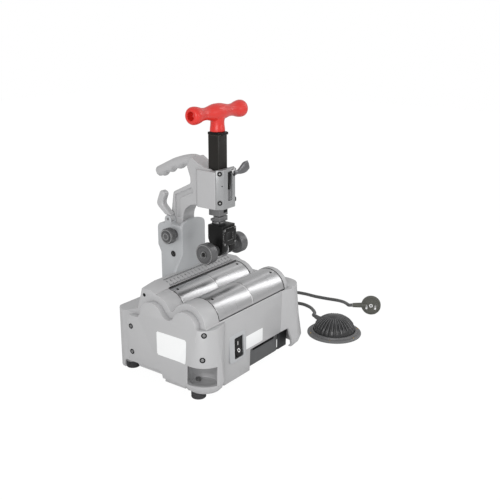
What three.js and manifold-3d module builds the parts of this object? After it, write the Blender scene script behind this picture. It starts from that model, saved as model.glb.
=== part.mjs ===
// Electric tube cutter: two driven rollers in a cast base turn the tube, and a swinging arm
// carries a square feed tube with the cutter wheel between two guide rollers.
// Millimetres, +Z up. X runs along the rollers, Y from the switch side to the post,
// and the origin lies on the underside of the base plate, midway between the rollers.
import * as THREE from 'three';
import { mergeVertices } from 'three/addons/utils/BufferGeometryUtils.js';
import Module from 'manifold-3d';

const wasm = await Module();
wasm.setup();

// Clearances and fineness
const GAP = 0.3;
const FIT = 0.45;
const RUN = 0.6;
const OVERRUN = 2;
const CHORD = 0.4;
const SLACK = 0.01;
const LEAST_SIDES = 8;
const SLICE = 5;
const TURN = 2 * Math.PI;
const DEGREE = Math.PI / 180;

const ROLLER = {
  radius: 37.6, length: 199.4, spacing: 77.7, height: 127.5, journal: 10, mouth: 1.2,
  grooveWidth: 3, grooveDepth: 1, screwRadius: 2.8, screwDepth: 9, screwInset: 11,
  frontLean: 20, rearLean: 15.5,
};

const HOUSING = {
  half: 138, wall: 3.5, rim: 2.3, frontRim: 76, frontTop: 79.3, lip: 3.5, lipRound: 1,
  humpOver: 0.4, valley: 5.4, deckOver: 0.9, ridgeFront: 64.5, ridgeRear: 68, ridgeRound: 3,
  ridgeHeight: 178, ridgeFall: 7, ridgeFallRun: 34, slopeFoot: 85, slopeRound: 6, platform: 117.8,
  rear: 155, rearCorner: 30, backRound: 6, shoulder: 113, shoulderTop: 135, shoulderRound: 8,
  crossWall: 3, cavityTop: 100, hoodWall: 3.5, bossRadius: 17, bossHeight: 30,
  openingHalf: 60, openingLow: 35, openingHigh: 120, shaftHole: 12,
  notchLow: 20, notchHigh: 95, notchTop: 14, peepHole: 2.5, peepDepth: 8, peepDrop: 18.7,
};

const CUTOUT = { left: 11, top: 45, legTop: 52, legHigh: 100.5, legLow: 116.7, legWall: 7 };

const COVER = {
  thickness: 12.4, wall: 3.5, inset: 11.5, foot: 15.5, rearFoot: 28, stepY: 14, stepRun: 4,
  rearEdge: 98, shoulderY: 72, shoulderZ: 118, corner: 6, front: 60,
  rightTop: 135, rightRear: 74,
};

const CORNER = {
  out: 117, fore: 56, inner: 88, back: 52, sillRadius: 29, sill: 7, heelRadius: 38.5, heel: 17,
  bellyRadius: 43, belly: 30, waistRadius: 37.5, waist: 69, topRadius: 32.5, top: 127, rightTop: 131,
  startAngle: 270, endAngle: 160, tailY: 26, tailFront: 42, wall: 4, hollowLow: 64, roof: 5,
  nicheOut: 129, nicheFore: 64, nicheRadius: 28, nicheTop: 60, nicheWall: 3, nicheBack: 33,
  rim: 26, mouth: 26, mouthAngle: 209.6, wellOut: 126, wellFore: 61, wellRadius: 25.5, wellFloor: 18,
};

const FOOT = {
  radius: 13.8, height: 16, taper: 1.2, frontX: 122, frontY: 45, rightX: 119.1, rightY: 20, rearX: 102,
  rearY: 140,
  boss: 17, bossTop: 18, shank: 3, head: 5, headHeight: 4.5, recess: 6.5, recessDepth: 6, gripLength: 22,
};

const PLATE = { thickness: 2, half: 105, front: 62, rear: 122, corner: 8 };

const CHASSIS = {
  thickness: 3, left: 28, right: 96.5, y: 64.5, bend: 8, returnY: 10, height: 58,
  slotLeft: 12, slotRight: 82, slotLow: 31, slotHigh: 44,
};

const SWITCH = {
  left: 70, right: 31, low: 42, high: 90, face: 76.5, plate: 3, rockerLeft: 57, rockerRight: 39,
  rockerLow: 47, rockerHigh: 80, body: 22, bodyWall: 2.5, pivotDepth: 6.5, crown: 9.5, dish: 6.5,
  waist: 2, heelDepth: 5, heelHalf: 6, pin: 1.5, tilt: 9, margin: 1.6, corner: 3,
};

const GEAR = {
  module: 2.5, width: 8, inner: 108, rollerTeeth: 24, pinionTeeth: 10, idlerTeeth: 11, shaft: 4,
  motorShaft: 5, addendumShare: 0.9, dedendumShare: 1.2, tipShare: 0.25, rootShare: 0.72,
};

const BEARING = { outer: 18.5, leftInner: 120, leftWidth: 10, rightWidth: 6, race: 0.3, plateInset: 12,
  plateFoot: 66,
  plateCorner: 6, pillar: 4, pillarY: 44, pillarLow: 73, pillarHigh: 89 };

const MOTOR = { gearbox: 30, gearboxLength: 38, body: 27, length: 118, boss: 9, bossLength: 6,
  cradleHalf: 18, cradleFrom: 30, cradleTo: 12, saddle: 14 };

const POST = {
  shieldFront: 64, shieldThickness: 6, half: 33, flareHalf: 55, flareLow: 178, flareHigh: 207,
    shieldShoulder: 262,
  shieldTop: 273.5, shieldCorner: 12, flareRound: 6, rear: 118, stepLow: 204, stepHigh: 218, blockRear: 125,
  cheekTop: 262, cheekCorner: 10, slotHalf: 18.5, slotFloor: 188, footHalf: 50, footFront: 88, footRear: 126,
  footThickness: 8, footCorner: 6, hollowWall: 7,
};

const PIVOT = { y: 87.5, z: 205, pin: 6, hub: 13 };

const KNOB = {
  y: 83, z: 245, stem: 5, collar: 9, collarLength: 4, neck: 7, neckLength: 5, grip: 14.5, gripLength: 14,
  chamfer: 1.5, nose: 9, noseLength: 7, noseRound: 2,
};

const LEVER = {
  y: 99, z: 271, knuckle: 7.5, pin: 2.5, lug: 2.7, inner: 18.8, headGap: 1.2, root: 4, bevel: 2,
  outerY: 129, outerZ: 296, outerRound: 10, tipRear: 117, tipTop: 325, tipFront: 104, tipLow: 320,
    tipRound: 5,
  innerY: 113, innerZ: 299, innerRound: 7,
};

const BLOCK = {
  half: 26, front: 10, rear: 40, low: 303, high: 372, rearChamfer: 8, coverFront: 22, coverHalf: 17,
  slotLeft: 4, slotRight: 5, slotLow: 320, slotHigh: 368, slotDepth: 4, gibHalf: 9, gibDepth: 3, gibEnd: 6,
};

const ARM = {
  half: 17, archY: 45, archZ: 272, archRadius: 31, legTop: 268, legRear: 106, elbowY: 98, elbowZ: 321,
  elbowRound: 6, neckY: 56, neckLowZ: 342, neckHighZ: 353, neckRound: 4, crownY: 54, crownZ: 395,
    crownRound: 14,
  shoulderY: 21, shoulderZ: 382, underY: 64, underZ: 374, gripHalf: 12, gripThick: 21, gripRootZ: 366,
  gripRiseZ: 383.5, gripMidY: 99, gripMidZ: 373, gripEndY: 146, gripEndZ: 351,
  panelDepth: 1.6, panelLowZ: 274, panelFrontY: 82, panelRearY: 94, panelBendZ: 311, panelCornerZ: 316,
  panelTipY: 50, panelTipLow: 325, panelTipHigh: 336, panelRound: 3,
};

const FEED = {
  y: 4, size: 25, wall: 2, low: 330, high: 435, collar: 5, tabHalf: 9, tabReach: 5, screw: 7, screwLow: 302,
  slide: 24.4, slideLow: 288, shankSize: 20.2, shankTop: 384, neck: 9, neckFlange: 12, neckFlangeHeight: 4,
};

const HANDLE = {
  y: 4.8, z: 474, left: 72, right: 76, end: 15.7, bore: 6, boreDepth: 12, endLength: 12, waist: 10.5,
    waistAt: 34,
  centre: 15.2, centreHalf: 13, stem: 14, stemTop: 462, stemWaist: 11, round: 3,
};

const HEAD = {
  y: 5, z: 226, half: 18.5, front: 20, rear: 10, low: 215, high: 272, slotHalf: 3.6, slotTop: 246, chamfer: 8,
  plateThickness: 2.7, plateLow: 235, plateHigh: 268, axle: 5, axleHalf: 55.5, wheel: 15, wheelHalf: 2.2,
    hub: 9,
  hubHalf: 3.2, edge: 0.4, guide: 19.5, guideInner: 36, guideOuter: 54, guideHub: 9, guideChamfer: 1.5,
};

const WING = { x: 13, z: 361, root: 5, thickness: 3.6, tip: 50, tipLow: 356, tipHigh: 373, tipRound: 4 };

const CORD = { radius: 3.75, sides: 8, gland: 11, glandFlange: 3, glandBody: 7.5, glandEnd: 4.6,
  glandReach: 40,
  glandDepth: 8, pedalGlandReach: 28 };

const MAINS = { y: 72, z: 46 };
const SIGNAL = { y: 28, z: 46 };

const PLUG = {
  x: 407, y: -108, z: 7.5, facing: 206, disc: 21.5, discThickness: 9, body: 15, bodyLength: 20, pin: 2.4,
  pinLength: 19, pinPitch: 19, relief: 5.6, reliefEnd: 4.6, reliefReach: 42, reliefDrop: 3, flat: 3,
    facetRound: 3,
};

const PEDAL = {
  x: 265, y: -96, floor: -14, flange: 57, flangeHeight: 5.5, edgeRound: 2, ring: 48, ringTop: 9, dome: 44,
    apex: 27,
  domeLift: 7.5, shell: 4, baseThickness: 2.3, relief: 5.4, reliefEnd: 4.6, reliefFrom: 47.6,
  reliefTo: 72, reliefZ: -2, cordAngle: 65,
};

// Routes of the free cords, point by point from the gland to the plug and from the gland to the pedal
const MAINS_ROUTE = [
  [216, 76, 38], [240, 88, 14], [262, 104, -5], [290, 120, -9.7], [325, 129, -9.7],
  [362, 130, -9.7], [393, 119, -9.7], [411, 99, -9.7], [417, 74, -9.7], [417, 46, -9.7],
  [421, 16, -9.7], [420, -12, -7], [406, -38, -1], [391, -56, 3],
];
const PEDAL_ROUTE = [
  [200, 32, 40], [222, 46, 18], [244, 62, -3], [268, 74, -9.7], [298, 82, -9.7],
  [328, 80, -9.7], [349, 66, -9.7], [357, 44, -9.7], [350, 19, -9], [334, 0, -6.5], [314, -17, -3.5],
];

// Shapes
function steps(radius, sweep) {
  return Math.ceil(Math.abs(sweep) / (2 * Math.acos(1 - CHORD / radius)));
}

function arc(u, v, radius, from, to) {
  const start = from * DEGREE;
  const end = to * DEGREE;
  const curve = new THREE.EllipseCurve(u, v, radius, radius, start, end, end < start);
  return curve.getPoints(steps(radius, end - start)).map((point) => [point.x, point.y]);
}

function fillet(before, corner, after) {
  const [u, v, wanted] = corner;
  const back = new THREE.Vector2(before[0] - u, before[1] - v);
  const on = new THREE.Vector2(after[0] - u, after[1] - v);
  const room = Math.min(back.length() / (before[2] ? 2 : 1), on.length() / (after[2] ? 2 : 1));
  back.normalize();
  on.normalize();
  const half = Math.acos(THREE.MathUtils.clamp(back.dot(on), -1, 1)) / 2;
  const radius = Math.min(wanted, (room - SLACK) * Math.tan(half));
  const reach = radius / Math.tan(half);
  const middle = back.clone().add(on).normalize().multiplyScalar(radius / Math.sin(half));
  const centre = new THREE.Vector2(u, v).add(middle);
  const start = new THREE.Vector2(u, v).addScaledVector(back, reach).sub(centre).angle();
  const end = new THREE.Vector2(u, v).addScaledVector(on, reach).sub(centre).angle();
  const sweep = THREE.MathUtils.euclideanModulo(end - start + Math.PI, TURN) - Math.PI;
  return arc(centre.x, centre.y, radius, start / DEGREE, (start + sweep) / DEGREE);
}

// An outline's points may carry a third value, the radius that rounds the corner
function shapeOf(points) {
  const round = points.flatMap((point, index) => {
    if (!point[2]) return [point];
    return fillet(points.at(index - 1), point, points[(index + 1) % points.length]);
  });
  return new THREE.Shape(round.map(([u, v]) => new THREE.Vector2(u, v)));
}

const X = new THREE.Vector3(1, 0, 0);
const Y = new THREE.Vector3(0, 1, 0);
const Z = new THREE.Vector3(0, 0, 1);
const PLANES = { xy: [X, Y, Z], yz: [Y, Z, X], xz: [X, Z, Y.clone().negate()] };

function solidOf(geometry) {
  const bare = geometry.clone();
  bare.deleteAttribute('normal');
  bare.deleteAttribute('uv');
  const merged = mergeVertices(bare);
  const index = merged.index.array;
  const at = merged.attributes.position;
  const corners = [new THREE.Vector3(), new THREE.Vector3(), new THREE.Vector3()];
  const kept = [];
  let volume = 0;
  for (let start = 0; start < index.length; start += 3) {
    const [a, b, c] = index.subarray(start, start + 3);
    if (a === b || b === c || c === a) continue;
    [a, b, c].forEach((vertex, place) => corners[place].fromBufferAttribute(at, vertex));
    volume += corners[0].dot(corners[1].clone().cross(corners[2]));
    kept.push([a, b, c]);
  }
  const triVerts = Uint32Array.from(kept.flatMap(([a, b, c]) => (volume < 0 ? [a, c, b] : [a, b, c])));
  return new wasm.Manifold(new wasm.Mesh({ numProp: 3, vertProperties: Float32Array.from(at.array),
    triVerts }));
}

function geometryOf(solid) {
  const { vertProperties, triVerts } = solid.getMesh();
  const geometry = new THREE.BufferGeometry();
  geometry.setAttribute('position', new THREE.BufferAttribute(vertProperties, 3));
  geometry.setIndex(new THREE.BufferAttribute(triVerts, 1));
  geometry.computeVertexNormals();
  return geometry;
}

function join(...solids) {
  return solids.reduce((whole, solid) => whole.add(solid));
}

function cut(solid, ...tools) {
  return tools.reduce((whole, tool) => whole.subtract(tool), solid);
}

function moved(solid, matrix) {
  return solidOf(geometryOf(solid).applyMatrix4(matrix));
}

function mirrored(solid) {
  return moved(solid, new THREE.Matrix4().makeScale(-1, 1, 1));
}

function shifted(solid, x, y, z) {
  return moved(solid, new THREE.Matrix4().makeTranslation(x, y, z));
}

function block([x0, x1], [y0, y1], [z0, z1]) {
  const box = new THREE.BoxGeometry(x1 - x0, y1 - y0, z1 - z0);
  return solidOf(box.translate((x0 + x1) / 2, (y0 + y1) / 2, (z0 + z1) / 2));
}

function slab(outline, low, high, plane, bevel = 0) {
  const options = { depth: high - low, steps: 1, bevelEnabled: false };
  if (bevel > 0) {
    Object.assign(options, {
      depth: high - low - 2 * bevel, bevelEnabled: true, bevelSize: bevel, bevelThickness: bevel,
      bevelOffset: -bevel, bevelSegments: 1,
    });
  }
  const shape = new THREE.ExtrudeGeometry(shapeOf(outline), options).translate(0, 0, bevel);
  const [across, up, out] = PLANES[plane];
  shape.applyMatrix4(new THREE.Matrix4().makeBasis(across, up, out));
  const offset = plane === 'xz' ? high : low;
  const along = plane === 'xy' ? Z : plane === 'yz' ? X : Y;
  return solidOf(shape.translate(along.x * offset, along.y * offset, along.z * offset));
}

function ring(points, axis, [x, y, z]) {
  const widest = Math.max(...points.map(([radius]) => radius));
  const sides = Math.max(LEAST_SIDES, steps(widest, TURN));
  const profile = points.map(([radius, along]) => new THREE.Vector2(radius, along));
  const shape = new THREE.LatheGeometry(profile, sides);
  if (axis === 'x') shape.rotateZ(-Math.PI / 2);
  if (axis === 'z') shape.rotateX(Math.PI / 2);
  return solidOf(shape.translate(x, y, z));
}

// A turned solid: [radius, place along the axis] from one end to the other
function turned(points, axis, centre) {
  const [first, last] = [points[0], points.at(-1)];
  return ring([[0, first[1]], ...points, [0, last[1]]], axis, centre);
}

function rod(radius, axis, [u, v], low, high) {
  const centre = axis === 'x' ? [0, u, v] : axis === 'y' ? [u, 0, v] : [u, v, 0];
  return turned([[radius, low], [radius, high]], axis, centre);
}

function bush(outer, inner, axis, [u, v], low, high) {
  return cut(rod(outer, axis, [u, v], low, high), rod(inner, axis, [u, v], low - OVERRUN, high + OVERRUN));
}

// Level rings of points, joined in order and capped at both ends
function loft(levels) {
  const first = levels[0].map(([x, y]) => new THREE.Vector2(x, y));
  const rings = THREE.ShapeUtils.isClockWise(first) ? levels.map((level) => level.toReversed()) : levels;
  const count = rings[0].length;
  const geometry = new THREE.BufferGeometry();
  geometry.setAttribute('position', new THREE.Float32BufferAttribute(rings.flat(2), 3));
  const index = [];
  rings.slice(1).forEach((unused, layer) => {
    for (let side = 0; side < count; side += 1) {
      const next = (side + 1) % count;
      const [a, b] = [layer * count + side, layer * count + next];
      index.push(a, b, b + count, a, b + count, a + count);
    }
  });
  const flat = rings[0].map(([x, y]) => new THREE.Vector2(x, y));
  const upper = rings.at(-1).map(([x, y]) => new THREE.Vector2(x, y));
  const shift = (rings.length - 1) * count;
  THREE.ShapeUtils.triangulateShape(flat, []).forEach(([a, b, c]) => index.push(a, c, b));
  THREE.ShapeUtils.triangulateShape(upper,
    []).forEach(([a, b, c]) => index.push(a + shift, b + shift, c + shift));
  geometry.setIndex(index);
  return solidOf(geometry);
}

// An oval section drawn along a smooth line through the points
function sweep(route, across, up, sides, count) {
  const line = new THREE.CatmullRomCurve3(route.map(([x, y, z]) => new THREE.Vector3(x, y, z)), false,
    'centripetal');
  const section = new THREE.Shape(Array.from({ length: sides }, (unused, side) => {
    const turn = TURN * (side + 1 / 2) / sides;
    return new THREE.Vector2(across * Math.cos(turn), up * Math.sin(turn));
  }));
  const slices = count ?? Math.ceil(line.getLength() / (SLICE * across));
  return new THREE.ExtrudeGeometry(section, { steps: slices, bevelEnabled: false, extrudePath: line });
}

// Materials and the group
const FINISHES = {
  casting: [0xb9babd, 0.5, 0.1], shield: [0x8d9094, 0.5, 0.2], sheet: [0x54575b, 0.6, 0.3],
    steel: [0xa9abae, 0.35, 0.9],
  bright: [0xc9c9cb, 0.25, 0.95], black: [0x1d1d1f, 0.5, 0.1], rubber: [0x232325, 0.85, 0],
    red: [0xe8483a, 0.35, 0],
  dark: [0x4a4c50, 0.4, 0.6], brass: [0xc2a35c, 0.35, 0.9], grey: [0x85888c, 0.45, 0.7],
};
const cutter = new THREE.Group();

function add(name, solid, finish) {
  const geometry = solid.isBufferGeometry ? solid : geometryOf(solid);
  const [color, roughness, metalness] = FINISHES[finish];
  const mesh = new THREE.Mesh(geometry, new THREE.MeshStandardMaterial({ color, roughness, metalness }));
  mesh.name = name;
  cutter.add(mesh);
}

// Places that follow from the sizes
const axisZ = ROLLER.height;
const rearY = ROLLER.spacing / 2;
const axes = { front: -rearY, rear: rearY };
const humpRadius = ROLLER.radius + HOUSING.humpOver;
const bayRadius = ROLLER.radius + ROLLER.mouth;
const bayHalf = ROLLER.length / 2 + RUN;
const innerWall = bayHalf + HOUSING.crossWall;
const hoodRadius = bayRadius + HOUSING.hoodWall;
const valleyZ = axisZ + Math.sqrt((humpRadius + HOUSING.valley) ** 2 - rearY ** 2);
const valleyAngle = Math.atan2(valleyZ - axisZ, rearY) / DEGREE;
const ridgeTop = HOUSING.ridgeHeight;
const lipTop = axisZ + HOUSING.lip;

// The line over both rollers, drawn in by an inset, from one angle on the front hump to one on the rear
function humpLine(inset, from = 180, to = 0) {
  return [
    ...arc(axes.front, axisZ, humpRadius - inset, from, valleyAngle),
    ...arc(0, valleyZ, HOUSING.valley + inset, 180 + valleyAngle, 360 - valleyAngle).slice(1),
    ...arc(axes.rear, axisZ, humpRadius - inset, 180 - valleyAngle, to).slice(1),
  ];
}

function atBothAxes(radius, low, high) {
  return join(rod(radius, 'x', [axes.front, axisZ], low, high),
    rod(radius, 'x', [axes.rear, axisZ], low, high));
}

// Gear centres, from the roller gears down to the motor
const rollerGear = GEAR.module * GEAR.rollerTeeth / 2;
const pinionGear = GEAR.module * GEAR.pinionTeeth / 2;
const idlerGear = GEAR.module * GEAR.idlerTeeth / 2;
const driveZ = axisZ - Math.sqrt((rollerGear + pinionGear) ** 2 - rearY ** 2);
const idlerZ = driveZ - pinionGear - idlerGear;
const motorZ = idlerZ - idlerGear - pinionGear;

// Housing
const { half: endX, wall, rim } = HOUSING;
const frontLip = Math.asin(HOUSING.lip / humpRadius) / DEGREE;
const mainSection = [
  [-HOUSING.frontRim, rim], [-HOUSING.frontTop, HOUSING.platform],
    [-HOUSING.frontTop, lipTop, HOUSING.lipRound],
  ...humpLine(0, 180 - frontLip, 90), [rearY, axisZ + humpRadius + HOUSING.deckOver],
  [HOUSING.ridgeFront, ridgeTop], [HOUSING.ridgeRear, ridgeTop, HOUSING.ridgeRound],
  [HOUSING.slopeFoot, HOUSING.platform, HOUSING.slopeRound],
    [HOUSING.rear, HOUSING.platform, HOUSING.backRound],
  [HOUSING.rear, rim],
];
const shoulderSection = [
  [-HOUSING.frontRim, rim], [-HOUSING.frontTop, HOUSING.platform],
  [-HOUSING.frontTop, HOUSING.shoulderTop, HOUSING.shoulderRound],
    [COVER.rightRear, HOUSING.shoulderTop, HOUSING.lip],
  [HOUSING.slopeFoot, HOUSING.platform, HOUSING.slopeRound],
    [HOUSING.rear, HOUSING.platform, HOUSING.backRound],
  [HOUSING.rear, rim],
];

function plan(inset) {
  const [x, front, rear] = [endX - inset, -HOUSING.frontTop - OVERRUN, HOUSING.rear - inset];
  const corner = HOUSING.rearCorner - inset;
  return slab([[-x, front], [x, front], [x, rear, corner], [-x, rear, corner]], -OVERRUN, ridgeTop + OVERRUN,
    'xy');
}

function ridgeFall(end, side) {
  const inner = end - side * HOUSING.ridgeFallRun;
  const outer = end + side * OVERRUN;
  const slope = HOUSING.ridgeFall / HOUSING.ridgeFallRun;
  const low = ridgeTop - HOUSING.ridgeFall - slope * OVERRUN;
  const wedge = [[inner, ridgeTop], [outer, low], [outer, ridgeTop + OVERRUN], [inner, ridgeTop + OVERRUN]];
  return slab(wedge, rearY, HOUSING.slopeFoot, 'xz');
}

const innerFront = HOUSING.frontRim - wall;
const platformInside = HOUSING.platform - wall;
const rearInside = HOUSING.rear - wall;
const bayCavity = cut(
  slab([[-innerFront, -OVERRUN], [-innerFront, HOUSING.cavityTop], [HOUSING.ridgeRear, HOUSING.cavityTop],
    [HOUSING.slopeFoot, platformInside], [rearInside, platformInside], [rearInside, -OVERRUN]], -bayHalf,
      bayHalf, 'yz'),
  atBothAxes(hoodRadius, -bayHalf - OVERRUN, bayHalf + OVERRUN),
);
const humpCavity = [[-innerFront, -OVERRUN], ...humpLine(wall), [humpRadius + rearY - wall, platformInside],
  [rearInside, platformInside], [rearInside, -OVERRUN]];
const shoulderInside = HOUSING.shoulderTop - wall;
const shoulderCavity = [[-innerFront, -OVERRUN], [-innerFront, shoulderInside],
  [COVER.rightRear - wall, shoulderInside],
  [HOUSING.slopeFoot - wall, platformInside], [rearInside, platformInside], [rearInside, -OVERRUN]];
const humpRoom = [[-humpRadius - rearY + wall, axisZ - OVERRUN], ...humpLine(wall),
  [humpRadius + rearY - wall, axisZ - OVERRUN]];
const cavities = join(
  bayCavity,
  slab(humpCavity, -endX, -innerWall, 'yz'),
  slab(shoulderCavity, innerWall, endX, 'yz'),
  slab(humpRoom, innerWall, HOUSING.shoulder - wall, 'yz'),
).intersect(plan(wall));

// Three feet hang on the housing, the front left one on its corner boss
const footSpots = {
  front_left: [-FOOT.frontX, -FOOT.frontY], front_right: [FOOT.rightX, -FOOT.rightY],
  rear_left: [-FOOT.rearX, FOOT.rearY], rear_right: [FOOT.rearX, FOOT.rearY],
};
const { front_left: cornerFoot, ...housingFeet } = footSpots;
const cornerRooms = join(
  block([-endX - OVERRUN, -CORNER.inner], [-endX, -CORNER.back], [-OVERRUN, CORNER.top]),
  block([-endX - OVERRUN, -FOOT.frontX + FOOT.boss], [-CORNER.back - OVERRUN, -FOOT.frontY + FOOT.boss],
    [-OVERRUN, FOOT.bossTop]),
  block([CORNER.inner, endX + OVERRUN], [-endX, -CORNER.back], [-OVERRUN, CORNER.rightTop]),
);

const nicheRoom = (clear) => rod(
  CORNER.nicheRadius + CORNER.nicheWall + clear, 'z', [-CORNER.nicheOut, -CORNER.nicheFore],
  -OVERRUN, CORNER.nicheTop + CORNER.nicheWall + clear,
).intersect(block([-endX, 0], [-CORNER.back - OVERRUN, -CORNER.nicheBack + clear], [-endX, endX]));

const postNotch = cut(
  block([-POST.flareHalf - GAP, POST.flareHalf + GAP], [POST.shieldFront - GAP, POST.footRear],
    [HOUSING.platform, ridgeTop + OVERRUN]),
  rod(hoodRadius, 'x', [rearY, axisZ], -endX, endX),
);

const footBosses = join(...Object.values(housingFeet).map((spot) => rod(
  HOUSING.bossRadius, 'z', spot, rim, HOUSING.bossHeight,
)));
const shell = join(
  cut(
    join(slab(mainSection, -endX, HOUSING.shoulder, 'yz'),
      slab(shoulderSection, HOUSING.shoulder, endX, 'yz')),
    cavities,
  ),
  footBosses,
).intersect(plan(0));
const endOpening = (from, to) => block(
  [from, to], [-HOUSING.openingHalf, HOUSING.openingHalf], [HOUSING.openingLow, HOUSING.openingHigh],
);
const wallHoles = join(
  atBothAxes(HOUSING.shaftHole, -innerWall - OVERRUN, -bayHalf + OVERRUN),
  atBothAxes(HOUSING.shaftHole, bayHalf - OVERRUN, innerWall + OVERRUN),
  rod(MOTOR.boss + RUN, 'x', [0, motorZ], -innerWall - OVERRUN, -bayHalf + OVERRUN),
  rod(GEAR.shaft + FIT, 'x', [0, idlerZ], -innerWall - OVERRUN, -bayHalf + OVERRUN),
  rod(GEAR.shaft + FIT, 'x', [0, driveZ], -innerWall - OVERRUN, -bayHalf + OVERRUN),
);
const footBores = join(...Object.values(housingFeet).map((spot) => rod(
  FOOT.shank + FIT, 'z', spot, rim - OVERRUN, HOUSING.bossHeight - wall,
)));
const cableHoles = (reach) => join(...[MAINS, SIGNAL].map(({ y, z }) => rod(
  CORD.glandBody + FIT, 'x', [y, z], endX - reach, endX + COVER.thickness + reach,
)));
const housing = cut(
  shell,
  atBothAxes(bayRadius, -bayHalf, bayHalf),
  block([-bayHalf, bayHalf], [axes.front - bayRadius, axes.rear], [axisZ, ridgeTop + OVERRUN]),
  wallHoles,
  endOpening(-endX - OVERRUN, -endX + wall + OVERRUN),
  endOpening(endX - wall - OVERRUN, endX + OVERRUN),
  cornerRooms,
  block([HOUSING.shoulder, endX + OVERRUN], [-endX, -CORNER.back], [CORNER.rightTop - OVERRUN, axisZ + endX]),
  nicheRoom(0),
  postNotch,
  ridgeFall(-endX, -1),
  ridgeFall(HOUSING.shoulder, 1),
  footBores,
  cableHoles(OVERRUN + wall),
  block([-endX - OVERRUN, -endX + wall + OVERRUN], [HOUSING.notchLow, HOUSING.notchHigh],
    [-OVERRUN, HOUSING.notchTop]),
  block([-CUTOUT.left, CORNER.inner + OVERRUN], [-endX, -innerFront + OVERRUN], [-OVERRUN, CUTOUT.top]),
  block([-SWITCH.left, -SWITCH.right], [-endX, -innerFront + OVERRUN], [SWITCH.low, SWITCH.high]),
  rod(HOUSING.peepHole, 'x', [HOUSING.ridgeFront, ridgeTop - HOUSING.peepDrop], -endX - OVERRUN,
    -endX + HOUSING.peepDepth),
);
add('housing', housing, 'casting');

// End covers with the corner bosses
const cornerBow = arc(0, 0, CORNER.bellyRadius, CORNER.startAngle, CORNER.endAngle);

function cornerRings(thin, zones, reach) {
  return zones.map(([height, radius]) => {
    const share = THREE.MathUtils.clamp((height - rim) / (HOUSING.platform - rim), 0, 1);
    const wallY = THREE.MathUtils.lerp(HOUSING.frontRim, HOUSING.frontTop, share) - thin;
    const size = (radius - thin) / CORNER.bellyRadius;
    const bow = cornerBow.map(([x, y]) => [x * size - CORNER.out, y * size - CORNER.fore]);
    const tail = -endX - COVER.thickness + thin;
    return [
      [-CORNER.inner - GAP + reach, -CORNER.back - GAP + reach], [-CORNER.inner - GAP + reach, -wallY],
        ...bow,
      [tail, -CORNER.tailY], [tail + COVER.thickness - GAP - thin, -CORNER.tailY],
      [tail + COVER.thickness - GAP - thin, -CORNER.back - GAP + reach],
    ].map(([x, y]) => [x, y, height]);
  });
}

function cornerZones(low, high) {
  const table = [[CORNER.sill, CORNER.sillRadius], [CORNER.heel, CORNER.heelRadius],
    [CORNER.belly, CORNER.bellyRadius],
    [CORNER.waist, CORNER.waistRadius], [Math.max(high, CORNER.rightTop), CORNER.topRadius]];
  const radiusAt = (height) => {
    const next = Math.max(1, table.findIndex(([level]) => level >= height));
    const [[h0, r0], [h1, r1]] = [table[next - 1], table[next]];
    return THREE.MathUtils.mapLinear(height, h0, h1, r0, r1);
  };
  const between = table.map(([level]) => level).filter((level) => level > low && level < high);
  return [low, ...between, high].map((level) => [level, radiusAt(level)]);
}

function coverOutline(thin) {
  const top = arc(axes.rear, axisZ, humpRadius - COVER.inset - thin, 180 - valleyAngle, 0).slice(1);
  const contour = [...humpLine(COVER.inset + thin, 180, 180 - valleyAngle), ...top];
  return [
    [-COVER.front + thin, COVER.foot + thin], ...contour,
    [COVER.shoulderY - thin, COVER.shoulderZ - thin, COVER.corner],
      [COVER.rearEdge - thin, COVER.shoulderZ - thin, COVER.corner],
    [COVER.rearEdge - thin, COVER.rearFoot + thin, COVER.corner],
      [COVER.stepY + COVER.stepRun, COVER.rearFoot + thin],
    [COVER.stepY, COVER.foot + thin],
  ];
}

function rightOutline(thin) {
  return [
    [-COVER.front + thin, COVER.foot + thin], [-COVER.front + thin, COVER.rightTop - thin, COVER.corner],
    [COVER.rightRear - thin, COVER.rightTop - thin, COVER.corner],
      [COVER.rearEdge - thin, COVER.shoulderZ - thin, COVER.corner],
    [COVER.rearEdge - thin, COVER.rearFoot + thin, COVER.corner],
      [COVER.stepY + COVER.stepRun, COVER.rearFoot + thin],
    [COVER.stepY, COVER.foot + thin],
  ];
}

// Both covers are made on the left side, and the right one is mirrored
function endCover(outline, top, hollowLow, extras, cuts) {
  const outer = -endX - COVER.thickness;
  const panel = cut(
    slab(outline(0), outer, -endX - GAP, 'yz'),
    slab(outline(COVER.wall), outer + COVER.wall, -endX + OVERRUN, 'yz'),
  );
  const boss = join(
    loft(cornerRings(0, cornerZones(CORNER.sill, top - GAP), 0)),
    ...extras,
  );
  const room = cut(
    loft(cornerRings(CORNER.wall, cornerZones(hollowLow, top - CORNER.roof), CORNER.wall)),
    ...extras,
  );
  const inside = block([-endX + wall + GAP, -CORNER.inner + OVERRUN], [-innerFront - GAP, -CORNER.nicheBack],
    [hollowLow + CORNER.wall, top + OVERRUN]);
  return cut(join(panel, boss), room, inside, ...cuts, atBothAxes(bayRadius, -bayHalf - GAP, 0));
}

const nicheShell = nicheRoom(-GAP).intersect(block([-endX, 0], [-endX, 0], [CORNER.sill, endX]));
const mouthTurn = new THREE.Matrix4().makeRotationZ(CORNER.mouthAngle * DEGREE);
const mouth = moved(
  block([0, CORNER.bellyRadius], [-CORNER.mouth, CORNER.mouth], [CORNER.rim, CORNER.nicheTop]),
  mouthTurn.setPosition(-CORNER.nicheOut, -CORNER.nicheFore, 0),
);
const niche = join(
  rod(CORNER.nicheRadius, 'z', [-CORNER.nicheOut, -CORNER.nicheFore], CORNER.rim, CORNER.nicheTop),
  mouth,
  rod(CORNER.wellRadius, 'z', [-CORNER.wellOut, -CORNER.wellFore], CORNER.wellFloor, CORNER.rim + OVERRUN),
);
const footBoss = rod(FOOT.boss - GAP, 'z', cornerFoot, CORNER.sill, FOOT.bossTop);
const footBore = rod(FOOT.shank + FIT, 'z', cornerFoot, -OVERRUN, CORNER.hollowLow);
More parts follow.
